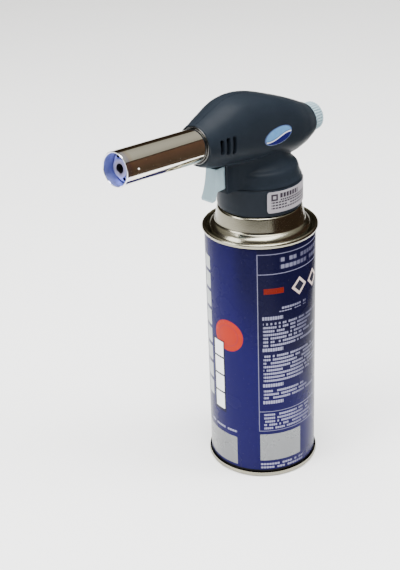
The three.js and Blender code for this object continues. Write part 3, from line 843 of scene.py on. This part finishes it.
def build_can():
    outline = rounded(tube(CAN_R - CAN_WALL, CAN_R, 1.4, SEAM_TOP - 1.4), 0.15, 2)
    wall = lathe(outline, 192)
    finish_piece(to_object(wall), "can_wall", "cartridge", can_print(),
                 ["cartridge_body"])


def build_can_ends():
    lip = SHEET / 2
    hook = SEAM_R - lip
    soft = sizes().seam_round / MM
    dome = rounded([
        (hook - 0.7, SEAM_TOP - 2.5), (hook, SEAM_TOP - 1.1), (hook - 0.7, SEAM_TOP - lip),
        (hook - 1.6, SEAM_TOP - lip), (31.8, SEAM_TOP - 1.3), (31.5, 155.3), (30.7, 155),
        (30, 156.6), (29, 158.6), (27.6, 159.8), (26.5, 160.3), (25.9, 161.4), (24.5, 169.2),
        (23.8, 169.9), (16.6, 169.9),
    ], soft, 5, False)
    shell = lathe(sheet(dome, SHEET), 192)
    finish_piece(to_object(shell), "can_dome", "cartridge", tinplate(),
                 ["cartridge_dome"])
    base = rounded([
        (0, 9.4), (16, 8.4), (30.4, 4.8), (31.4, 1.2), (hook - 1.7, lip), (hook - 0.7, lip),
        (hook, 1), (hook - 0.5, 2.7),
    ], soft, 5, False)
    bottom = lathe(sheet(base, SHEET), 192)
    finish_piece(to_object(bottom), "can_base", "cartridge", tinplate(),
                 ["cartridge_base"])


# ------------------------------------------------------------------ pieces of the head


def build_collar():
    outline = rounded([
        (24, COLLAR_BOTTOM), (COLLAR_R - 0.2, COLLAR_BOTTOM + 0.6), (COLLAR_R, 173),
        (COLLAR_R, COLLAR_TOP - 0.9), (COLLAR_R - 0.8, COLLAR_TOP), (23, COLLAR_TOP),
        (23, 182), (20.5, 182), (20.5, 180.6), (23, 180.6), (23, COLLAR_BOTTOM),
    ], sizes().edge_round / MM, 4)
    finish_piece(to_object(lathe(outline, 160)), "collar", "head", housing_finish(),
                 ["base_collar"])


def build_label():
    low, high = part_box("caution_label")
    bottom, top = low.z / MM, high.z / MM
    inner, outer = COLLAR_R + 0.17, COLLAR_R + 0.42
    bm = bmesh.new()
    bmesh.ops.create_grid(bm, x_segments=96, y_segments=16, size=0.5)
    length = (LABEL_END - LABEL_START) * COLLAR_R
    middle, half = (bottom + top) / 2, (top - bottom) / 2
    for vert in bm.verts:
        along = (vert.co.x + 0.5) * length
        from_end = min(along, length - along, LABEL_CORNER)
        cut = LABEL_CORNER - math.sqrt(max(LABEL_CORNER**2 - (LABEL_CORNER - from_end) ** 2, 0))
        angle = LABEL_START + (vert.co.x + 0.5) * (LABEL_END - LABEL_START)
        height = middle + vert.co.y * 2 * (half - cut)
        vert.co = (outer * math.cos(angle), outer * math.sin(angle), height)
    bmesh.ops.recalc_face_normals(bm, faces=bm.faces)
    for face in bm.faces:
        if face.normal.dot(face.calc_center_median() * Vector((1, 1, 0))) < 0:
            face.normal_flip()
    bmesh.ops.solidify(bm, geom=bm.faces, thickness=outer - inner)
    finish_piece(to_object(bm), "collar_label", "head", label_film(),
                 ["caution_label"])


def housing_finish():
    return moulded_plastic("housing_plastic", tuple(colours().housing), 0.40, 1.2)


def grey_finish():
    return moulded_plastic("grey_plastic", tuple(colours().grey), 0.42, 0.8)


def signed_power(value, power):
    return math.copysign(abs(value) ** power, value)


def bulb_point(t, angle, inset):
    x, crown, belly, width, exponent = spline(BULB, t)
    power = 2 / exponent
    middle, half = (crown + belly) / 2, (crown - belly) / 2 - inset
    y = (width - inset) * signed_power(math.cos(angle), power)
    return Vector((x, y, middle + half * signed_power(math.sin(angle), power)))


def bulb(inset, rows=72, sides=120):
    return skin(rows, sides, lambda t, angle: bulb_point(t, angle, inset))


def bulb_side(x, z):
    """Half width of the bulb at a point of its side."""
    low, high = 0.0, 1.0
    for _ in range(40):
        middle = (low + high) / 2
        low, high = (middle, high) if spline(BULB, middle)[0] > x else (low, middle)
    _, crown, belly, width, exponent = spline(BULB, low)
    share = min(abs(z - (crown + belly) / 2) / ((crown - belly) / 2), 1)
    return width * (1 - share**exponent) ** (1 / exponent)


def neck(inset, low_end, high_end, sides=120):
    """The neck's skin, its first and last rows moved to low_end and high_end."""

    def place(t, angle):
        z, front, back, half = spline(NECK, t)
        z = low_end if t < 0.001 else high_end if t > 0.999 else z
        reach = (front if math.cos(angle) > 0 else back) - inset
        return Vector((reach * math.cos(angle), (half - inset) * math.sin(angle), z))

    return skin(36, sides, place)


def nose():
    """Trigger guide that stands out of the neck's front."""
    side = [
        (8, 13.5), (14, 12), (20, 9.2), (25, 6.8), (29, NOSE_HALF + 0.1), (NOSE_X, NOSE_HALF),
    ]
    outline = side + [(x, -y) for x, y in reversed(side)]
    return plate(outline, HOUSING_BOTTOM - 2, 205.5)


def vent(x, bottom, top, side):
    r = VENT_WIDTH / 2
    steps = 10
    low = [TURN / 2 + TURN / 2 * k / steps for k in range(steps + 1)]
    outline = [(x + r * math.cos(a), bottom + r + r * math.sin(a)) for a in low]
    outline += [(x - r * math.cos(a), top - r - r * math.sin(a)) for a in low]
    return plate(outline, 9 * side, 26 * side, UPRIGHT)


def badge_prism(grow):
    steps = 96
    outline = []
    for k in range(steps):
        angle = TURN * k / steps
        x = BADGE_X + (BADGE_LENGTH / 2 + grow) * math.cos(angle)
        outline.append((x, BADGE_Z + (BADGE_HEIGHT / 2 + grow) * math.sin(angle)))
    return plate(outline, 8, 26, UPRIGHT)


def outer_skin():
    """Bulb, neck and nose run together into one skin with soft inner corners."""
    skin_object = to_object(bulb(0), "housing")
    combine(skin_object, neck(0, HOUSING_BOTTOM - 4, NECK_TOP), "UNION")
    combine(skin_object, nose(), "UNION")
    remesh = skin_object.modifiers.new("blend", "REMESH")
    remesh.mode = "VOXEL"
    remesh.voxel_size = sizes().voxel / MM
    smooth = skin_object.modifiers.new("smooth", "SMOOTH")
    smooth.factor = 0.5
    smooth.iterations = 10
    return settle(skin_object)


def build_housing():
    shell = outer_skin()
    cavity = to_object(bulb(WALL, 36, 64), "cavity")
    combine(cavity, block((-36.3, -30, 190), (48.6, 30, 245)), "INTERSECT")
    combine(cavity, neck(WALL, HOUSING_BOTTOM - 6, NECK_TOP, 64), "UNION")
    bosses = to_object(bulb(BOSS_INSET, 36, 64), "bosses")
    combine(bosses, neck(BOSS_INSET, HOUSING_BOTTOM, NECK_TOP, 64), "UNION")
    first, *others = [
        rod(BOSS_R, -22, 22, 32, Matrix.Translation((x, 0, z)) @ ALONG_Y) for x, z in SCREWS
    ]
    posts = to_object(first, "posts")
    for post in others:
        combine(posts, post, "UNION")
    combine_objects(bosses, posts, "INTERSECT")
    combine_objects(shell, cavity, "DIFFERENCE")
    combine_objects(shell, bosses, "UNION")

    burner = Matrix.Translation((0, 0, BURNER_Z)) @ Matrix.Rotation(-TILT, 4, "Y") @ ALONG_X
    knob = Matrix.Translation((0, 0, KNOB_Z)) @ ALONG_X
    half, low, high = TUNNEL
    cutters = [
        block((-60, -40, 170), (60, 40, HOUSING_BOTTOM)),
        block((6, -half, low), (41, half, high)),
        rod(TUBE_R + 1.3, 46, 60, 96, burner),
        rod(KNOB_BASE_R + 0.4, -60, -38.2, 96, knob),
        rod(5, -45, -35, 64, knob),
    ]
    cutters += [vent(*slot, side) for slot in VENTS for side in (1, -1)]
    for x, z in SCREWS:
        post = Matrix.Translation((x, 0, z)) @ ALONG_Y
        cutters.append(rod(SCREW_WELL_R, -26, SCREW_SEAT_Y, 40, post))
        cutters.append(rod(SCREW_HOLE_R, SCREW_SEAT_Y - 1, 8, 24, post))
    for cutter in cutters:
        combine(shell, cutter, "DIFFERENCE")

    pocket = to_object(badge_prism(0.3), "pocket")
    combine(pocket, bulb(BOSS_INSET), "DIFFERENCE")
    combine_objects(shell, pocket, "DIFFERENCE")

    other = shell.copy()
    other.data = shell.data.copy()
    bpy.context.scene.collection.objects.link(other)
    combine(shell, block((-70, SPLIT, 180), (70, 40, 250)), "INTERSECT")
    combine(other, block((-70, -40, 180), (70, -SPLIT, 250)), "INTERSECT")
    finish_piece(shell, "housing_half_left", "head", housing_finish(),
                 ["housing_left"])
    finish_piece(other, "housing_half_right", "head", housing_finish(),
                 ["housing_right"])


def build_badge():
    bm = bmesh.new()
    bmesh.ops.create_uvsphere(bm, u_segments=96, v_segments=32, radius=1)
    for vert in bm.verts:
        across, up, out = vert.co.x, vert.co.y, vert.co.z
        x = BADGE_X + (BADGE_LENGTH / 2) * across
        z = BADGE_Z + (BADGE_HEIGHT / 2) * up
        y = bulb_side(x, z) + (BADGE_PROUD if out > 0 else BADGE_SUNK) * out
        vert.co = (x, y, z)
    bmesh.ops.recalc_face_normals(bm, faces=bm.faces)
    finish_piece(to_object(bm), "badge", "head", badge_enamel(), ["side_badge"],
                 crease=60)


def build_screws():
    steel = metal("screw_steel", (0.50, 0.49, 0.46), 0.22, 0.4, 1.0)
    for i, (x, z) in enumerate(SCREWS):
        seat = SCREW_SEAT_Y - 0.3
        outline = rounded([(0, seat - 2), (1.6, seat - 2), (2.4, seat - 1.3), (2.4, seat),
                           (1.2, seat), (1.2, 7), (0, 7)], 0.3, 4)
        screw = to_object(lathe(outline, 48))
        for arm in (0, TURN / 4):
            turn = Matrix.Translation((0, 0, seat - 1.6)) @ Matrix.Rotation(arm, 4, "Z")
            slot = block((-1.3, -0.3, -0.8), (1.3, 0.3, 0.5))
            bmesh.ops.transform(slot, matrix=turn, verts=slot.verts)
            combine(screw, slot, "DIFFERENCE")
        node = f"housing_screw_{i + 1}"
        place = DESIGN @ Matrix.Translation((x, 0, z)) @ ALONG_Y
        finish_piece(screw, f"case_screw_{i + 1}", "head", steel, [node], place)


def build_knob():
    soft = sizes().edge_round / MM
    outline = [(0, -46.6)] + rounded([
        (2.35, -46.6), (2.35, -33.9), (4.6, -33.9), (4.6, -34.9), (4.1, -34.9), (4.1, -36.2),
        (4.6, -36.2), (4.6, KNOB_BASE), (KNOB_BASE_R, KNOB_BASE),
    ], 0.05, 1, False)
    grip_rows = 16
    for k in range(grip_rows + 1):
        w = k / grip_rows
        outline.append((KNOB_BASE_R + (KNOB_END_R - KNOB_BASE_R) * w,
                        KNOB_BASE + (KNOB_END + 0.7 - KNOB_BASE) * w))
    outline += rounded([
        outline[-1], (KNOB_END_R - 0.1, KNOB_END), (6.6, KNOB_END), (6.2, KNOB_END + 0.5),
        (0, KNOB_END + 0.5),
    ], soft, 4, False)[1:]
    bm = lathe(outline, KNOB_GROOVES * 10)
    for vert in bm.verts:
        radius = math.hypot(vert.co.x, vert.co.y)
        along = (KNOB_BASE - vert.co.z) / (KNOB_BASE - KNOB_END)
        if radius < 7.6 or along < GROOVE_START:
            continue
        angle = math.atan2(vert.co.y, vert.co.x)
        groove = max(0, -math.cos(angle * KNOB_GROOVES)) ** 0.7
        ends = min(1, (along - GROOVE_START) / 0.08) * min(1, (1.08 - along) / 0.2)
        scale = 1 - GROOVE_DEPTH * groove * ends / radius
        vert.co.x *= scale
        vert.co.y *= scale
    bmesh.ops.recalc_face_normals(bm, faces=bm.faces)
    place = DESIGN @ Matrix.Translation((0, 0, KNOB_Z)) @ ALONG_X
    finish_piece(to_object(bm), "gas_knob", "knob", grey_finish(),
                 ["regulator_knob"], place, 40)


def curve(start, control, end, steps=12):
    """Points after start on the bend from start to end."""
    made = []
    for k in range(1, steps + 1):
        w = k / steps
        made.append(tuple(
            s * (1 - w) ** 2 + c * 2 * w * (1 - w) + e * w * w
            for s, c, e in zip(start, control, end)
        ))
    return made


def build_trigger():
    outline = [(27.5, 190), (39, 189.8)]
    outline += curve(outline[-1], (40.2, 188), (40.4, 185.4), 8)
    outline += curve(outline[-1], (42.4, 184.2), (44.2, 184.9), 8)
    outline += [(44.5, 186.4)]
    outline += curve(outline[-1], (40.8, 192.5), (40, 203.2), 16)
    outline += [(33, 203.2), (27.5, 201.4)]
    bm = soften(plate(outline, -4, 4, UPRIGHT), 0.55, 4, 50)
    finish_piece(to_object(bm), "trigger_lever", "trigger", grey_finish(),
                 ["trigger"])


def build_burner():
    inner = TUBE_R - TUBE_WALL
    rows = [(TUBE_R, 99 + 0.4 * k) for k in range(16)]
    inner_rows = [(inner, z) for _, z in reversed(rows)]
    outline = [(inner, TUBE_START), (TUBE_R, TUBE_START), *rows, (TUBE_R, TUBE_MOUTH - 0.25),
               (TUBE_R - 0.25, TUBE_MOUTH), (inner + 0.25, TUBE_MOUTH),
               (inner, TUBE_MOUTH - 0.25), *inner_rows]
    bm = lathe(outline, 192)
    for vert in bm.verts:
        around = math.atan2(vert.co.y, -vert.co.x)
        turned = (around - (TURN / 4 + DIMPLE_TURN) + TURN / 2) % TURN - TURN / 2
        far = math.hypot(vert.co.z - DIMPLE_AT, turned * TUBE_R)
        radius = math.hypot(vert.co.x, vert.co.y)
        scale = 1 - DIMPLE_DEPTH * math.exp(-((far / DIMPLE_R) ** 2)) / radius
        vert.co.x *= scale
        vert.co.y *= scale
    barrel = to_object(bm)
    barrel.data.transform(ALONG_X)
    under = Matrix.Translation((80, 0, 0)) @ Matrix.Rotation(math.radians(90 + 32), 4, "X")
    outwards = under @ Matrix.Rotation(math.pi, 4, "X")
    combine(barrel, rod(1.3, -14, 0, 32, outwards), "DIFFERENCE")
    finish_piece(barrel, "burner_barrel", "head", chrome(), ["burner_tube"],
                 BURNER)

    head = rounded([
        (NOZZLE_BORE_R, 98.3), (NOZZLE_R, 98.3), (NOZZLE_R, 100.5), (inner - 0.4, 100.5),
        (inner - 0.4, 103.2), (NOZZLE_R, 103.2), (NOZZLE_R, NOZZLE_FRONT),
        (NOZZLE_BORE_R, NOZZLE_FRONT),
    ], 0.35, 4)
    nozzle = to_object(lathe(head, 96))
    for k in range(PORT_COUNT):
        turn = Matrix.Rotation(TURN / 8 + TURN * k / PORT_COUNT, 4, "Z")
        port = turn @ Matrix.Translation((PORT_RING_R, 0, 0))
        combine(nozzle, rod(1.05, 99, 105, 24, port), "DIFFERENCE")
    finish_piece(nozzle, "flame_nozzle", "head", heated_brass(), ["flame_head"],
                 BURNER @ ALONG_X)

    bezel = rounded([
        (TUBE_R + 0.25, 46.4), (TUBE_R + 1, 46.4), (TUBE_R + 1, 51.9), (TUBE_R + 0.25, 51.9),
    ], 0.4, 5)
    finish_piece(to_object(lathe(bezel, 128)), "tube_bezel_ring", "head", gloss_black(),
                 ["tube_bezel"], BURNER @ ALONG_X)


def finish_inner_nodes():
    """Materials for the CAD nodes that show as they are."""
    by_slot = {
        "tinplate": tinplate(),
        "valve_nylon": moulded_plastic("valve_nylon", (0.70, 0.70, 0.66), 0.5, 0.6),
        "rubber": rubber(),
        "spring_steel": metal("spring_steel", (0.58, 0.57, 0.55), 0.15, 0.3, 0.6),
        "zinc": metal("die_cast_zinc", (0.48, 0.48, 0.47), 0.35, 0.55, 1.6),
        "brass": metal("machined_brass", (0.62, 0.44, 0.17), 0.18, 0.36, 1.0),
        "screw_steel": metal("screw_steel", (0.50, 0.49, 0.46), 0.22, 0.4, 1.0),
        "mixer_steel": metal("mixer_steel", (0.50, 0.48, 0.45), 0.2, 0.4, 0.8),
        "ceramic": ceramic(),
        "lead_insulation": rubber(),
        "piezo_plastic": moulded_plastic("piezo_plastic", (0.50, 0.47, 0.40), 0.5, 0.8),
    }
    for entry in frame["record"]["subparts"]:
        node = frame["nodes"][entry["node"]]
        finish = by_slot.get(entry["material_slot"])
        if node.hide_render:
            continue
        if finish is None:
            raise RuntimeError(f"{node.name} has no finish")
        node.data.materials.clear()
        node.data.materials.append(finish)


# ------------------------------------------------------------------ studio

CAMERA_DISTANCE = 0.7097
CAMERA_AZIMUTH = math.radians(44.5)    # from +X towards +Y
CAMERA_ELEVATION = math.radians(27.02)
CAMERA_ROLL = math.radians(2.28)
CAMERA_TARGET = Vector((AXIS_X + 0.0255, -0.0260, 0.1175))
CAMERA_LENS = 74.75
BACKDROP = (0.86, 0.86, 0.855, 1)
WORLD_STRENGTH = 1.2
REFLECTED_STUDIO = [  # (sine of the angle above the horizon, colour)
    (0.0, (0.03, 0.02, 0.012)), (0.508, (0.03, 0.02, 0.012)), (0.516, (0.36, 0.35, 0.29)),
    (0.72, (0.50, 0.48, 0.41)), (1.0, (0.98, 0.97, 0.94)),
]
LIGHT_AIM = (0, 0, 0.15)
SOFTBOXES = [  # (name, place, width, height, watts, seen in reflections)
    ("softbox_top", (0.2, 0.1, 1.5), 1.4, 1.4, 78, True),
    ("softbox_left", (1.3, -0.5, 0.9), 0.8, 1.0, 26, True),
    ("softbox_right", (-0.9, 1.1, 1.2), 0.8, 1.0, 30, False),
]


def build_camera():
    az, el = CAMERA_AZIMUTH, CAMERA_ELEVATION
    back = Vector((math.cos(el) * math.cos(az), math.cos(el) * math.sin(az), math.sin(el)))
    right = Vector((0, 0, 1)).cross(back).normalized()
    up = back.cross(right)
    c, s = math.cos(CAMERA_ROLL), math.sin(CAMERA_ROLL)
    x_axis, y_axis = right * c - up * s, right * s + up * c
    data = bpy.data.cameras.new("studio_camera")
    data.lens = CAMERA_LENS
    data.clip_start = 0.01
    camera = bpy.data.objects.new("studio_camera", data)
    turn = Matrix((x_axis, y_axis, back)).transposed().to_4x4()
    camera.matrix_world = Matrix.Translation(CAMERA_TARGET + back * CAMERA_DISTANCE) @ turn
    bpy.context.scene.collection.objects.link(camera)
    bpy.context.scene.camera = camera


def build_floor():
    bm = bmesh.new()
    bmesh.ops.create_grid(bm, x_segments=8, y_segments=8, size=sizes().floor / 2)
    floor = to_object(bm, "studio_floor")
    f = Finish("studio_floor")
    at = f.node("TexCoord").out("Object")
    cloud = f.noise(at, 4, 3)
    f.surface("Base Color", f.mix(cloud, (0.96, 0.96, 0.96), (0.99, 0.99, 0.99)))
    f.surface("Roughness", cloud * 0.1 + 0.55)
    floor.data.materials.append(f.material)


def build_flag():
    """Dark card beside the torch, seen only in its reflections, as in a product studio."""
    bm = bmesh.new()
    bmesh.ops.create_grid(bm, x_segments=4, y_segments=20, size=0.5)
    away, across = Vector((-0.618, 0.787, 0)), Vector((0.787, 0.618, 0))
    for vert in bm.verts:
        up = vert.co.y * 1.25 + 0.375
        reach = 0.36 + 0.6 * up if up < 0 else 0.36 + 0.24 * up
        lift = Vector((0, 0, 0.01 + 0.58 * max(up, 0)))
        vert.co = away * reach + across * vert.co.x * 1.1 + lift
    flag = to_object(bm, "studio_flag")
    f = Finish("studio_flag", roughness=1.0, specular_ior_level=0.0)
    at = f.node("TexCoord").out("Object")
    height = f.split(at)[2]
    drift = f.step(height + f.noise(at, 3, 2) * 0.05, 0, 0.5)
    brown = f.mix(drift, (0.026, 0.018, 0.012), (0.036, 0.020, 0.013))
    f.surface("Base Color", f.mix(f.step(height, 0.53, 0.58), brown, (0.004, 0.003, 0.003)))
    flag.data.materials.append(f.material)
    for ray in ("camera", "diffuse", "shadow", "transmission"):
        setattr(flag, "visible_" + ray, False)


def add_light(name, place, width, height, power, in_reflections):
    data = bpy.data.lights.new(name, "AREA")
    data.shape = "RECTANGLE"
    data.size, data.size_y = width, height
    data.energy = power
    light = bpy.data.objects.new(name, data)
    light.location = place
    aim = Vector(LIGHT_AIM) - Vector(place)
    light.rotation_euler = aim.to_track_quat("-Z", "Y").to_euler()
    light.visible_glossy = in_reflections
    bpy.context.scene.collection.objects.link(light)


def build_world():
    """Pale backdrop. Reflections see a warm dark studio below 30 degrees and a pale ceiling."""
    world = bpy.data.worlds.new("studio")
    world.use_nodes = True
    bpy.context.scene.world = world
    tree = world.node_tree
    coord = tree.nodes.new("ShaderNodeTexCoord")
    parts = tree.nodes.new("ShaderNodeSeparateXYZ")
    ramp = tree.nodes.new("ShaderNodeValToRGB")
    tree.links.new(coord.outputs["Generated"], parts.inputs[0])
    tree.links.new(parts.outputs[2], ramp.inputs[0])
    seen = tree.nodes.new("ShaderNodeLightPath")
    choice = tree.nodes.new("ShaderNodeMix")
    choice.data_type = "RGBA"
    choice.inputs[7].default_value = BACKDROP
    tree.links.new(seen.outputs["Is Camera Ray"], choice.inputs[0])
    tree.links.new(ramp.outputs[0], choice.inputs[6])
    tree.links.new(choice.outputs[2], tree.nodes["Background"].inputs[0])
    set_stops(ramp.color_ramp, REFLECTED_STUDIO)
    tree.nodes["Background"].inputs[1].default_value = WORLD_STRENGTH


def build_stage():
    build_camera()
    build_floor()
    build_world()
    build_flag()
    for softbox in SOFTBOXES:
        add_light(*softbox)


# ------------------------------------------------------------------ operators and panel


class TORCH_OT_can(bpy.types.Operator):
    """Turn the printed wall of the cartridge"""

    bl_idname = "torch.can"
    bl_label = "Cartridge wall"

    def execute(self, context):
        build_can()
        return {"FINISHED"}


class TORCH_OT_can_ends(bpy.types.Operator):
    """Turn the domed top and dished base"""

    bl_idname = "torch.can_ends"
    bl_label = "Cartridge ends"

    def execute(self, context):
        build_can_ends()
        return {"FINISHED"}


class TORCH_OT_collar(bpy.types.Operator):
    """Turn the lower collar of the head"""

    bl_idname = "torch.collar"
    bl_label = "Collar"

    def execute(self, context):
        build_collar()
        return {"FINISHED"}


class TORCH_OT_label(bpy.types.Operator):
    """Wrap the film label round the collar"""

    bl_idname = "torch.label"
    bl_label = "Collar label"

    def execute(self, context):
        build_label()
        return {"FINISHED"}


class TORCH_OT_housing(bpy.types.Operator):
    """Blend, hollow and split the moulded housing"""

    bl_idname = "torch.housing"
    bl_label = "Housing"

    def execute(self, context):
        build_housing()
        return {"FINISHED"}


class TORCH_OT_badge(bpy.types.Operator):
    """Dome the oval badge on the bulb's side"""

    bl_idname = "torch.badge"
    bl_label = "Badge"

    def execute(self, context):
        build_badge()
        return {"FINISHED"}


class TORCH_OT_screws(bpy.types.Operator):
    """Make the screws that close the housing"""

    bl_idname = "torch.screws"
    bl_label = "Case screws"

    def execute(self, context):
        build_screws()
        return {"FINISHED"}


class TORCH_OT_knob(bpy.types.Operator):
    """Turn and groove the gas knob"""

    bl_idname = "torch.knob"
    bl_label = "Gas knob"

    def execute(self, context):
        build_knob()
        return {"FINISHED"}


class TORCH_OT_trigger(bpy.types.Operator):
    """Cut and soften the igniter trigger"""

    bl_idname = "torch.trigger"
    bl_label = "Trigger"

    def execute(self, context):
        build_trigger()
        return {"FINISHED"}


class TORCH_OT_burner(bpy.types.Operator):
    """Turn the burner tube, flame nozzle and bezel"""

    bl_idname = "torch.burner"
    bl_label = "Burner"

    def execute(self, context):
        build_burner()
        return {"FINISHED"}


class TORCH_OT_inner(bpy.types.Operator):
    """Give the carried-over pieces their finish"""

    bl_idname = "torch.inner"
    bl_label = "Inner pieces"

    def execute(self, context):
        finish_inner_nodes()
        return {"FINISHED"}


class TORCH_OT_stage(bpy.types.Operator):
    """Set up the floor, lights and camera"""

    bl_idname = "torch.stage"
    bl_label = "Stage"

    def execute(self, context):
        build_stage()
        return {"FINISHED"}


OPERATORS = [
    TORCH_OT_can, TORCH_OT_can_ends, TORCH_OT_collar, TORCH_OT_label,
    TORCH_OT_housing, TORCH_OT_badge, TORCH_OT_screws, TORCH_OT_knob,
    TORCH_OT_trigger, TORCH_OT_burner, TORCH_OT_inner, TORCH_OT_stage,
]


class TORCH_PT_sidebar(bpy.types.Panel):
    """Lists the torch's operators and settings"""

    bl_idname = "TORCH_PT_sidebar"
    bl_label = "Torch"
    bl_space_type = "VIEW_3D"
    bl_region_type = "UI"
    bl_category = "Torch"

    def draw(self, context):
        for made in OPERATORS:
            self.layout.operator(made.bl_idname)
        for group in (context.scene.torch_colours, context.scene.torch_sizes):
            for key in group.__annotations__:
                self.layout.prop(group, key)


CLASSES = [TorchColours, TorchSizes, *OPERATORS, TORCH_PT_sidebar]


def register():
    for made in CLASSES:
        bpy.utils.register_class(made)
    bpy.types.Scene.torch_colours = bpy.props.PointerProperty(type=TorchColours)
    bpy.types.Scene.torch_sizes = bpy.props.PointerProperty(type=TorchSizes)


def unregister():
    del bpy.types.Scene.torch_sizes
    del bpy.types.Scene.torch_colours
    for made in reversed(CLASSES):
        bpy.utils.unregister_class(made)


def main():
    register()
    for made in OPERATORS:
        getattr(bpy.ops.torch, made.bl_idname.split(".")[1])()


if __name__ == "__main__":
    main()
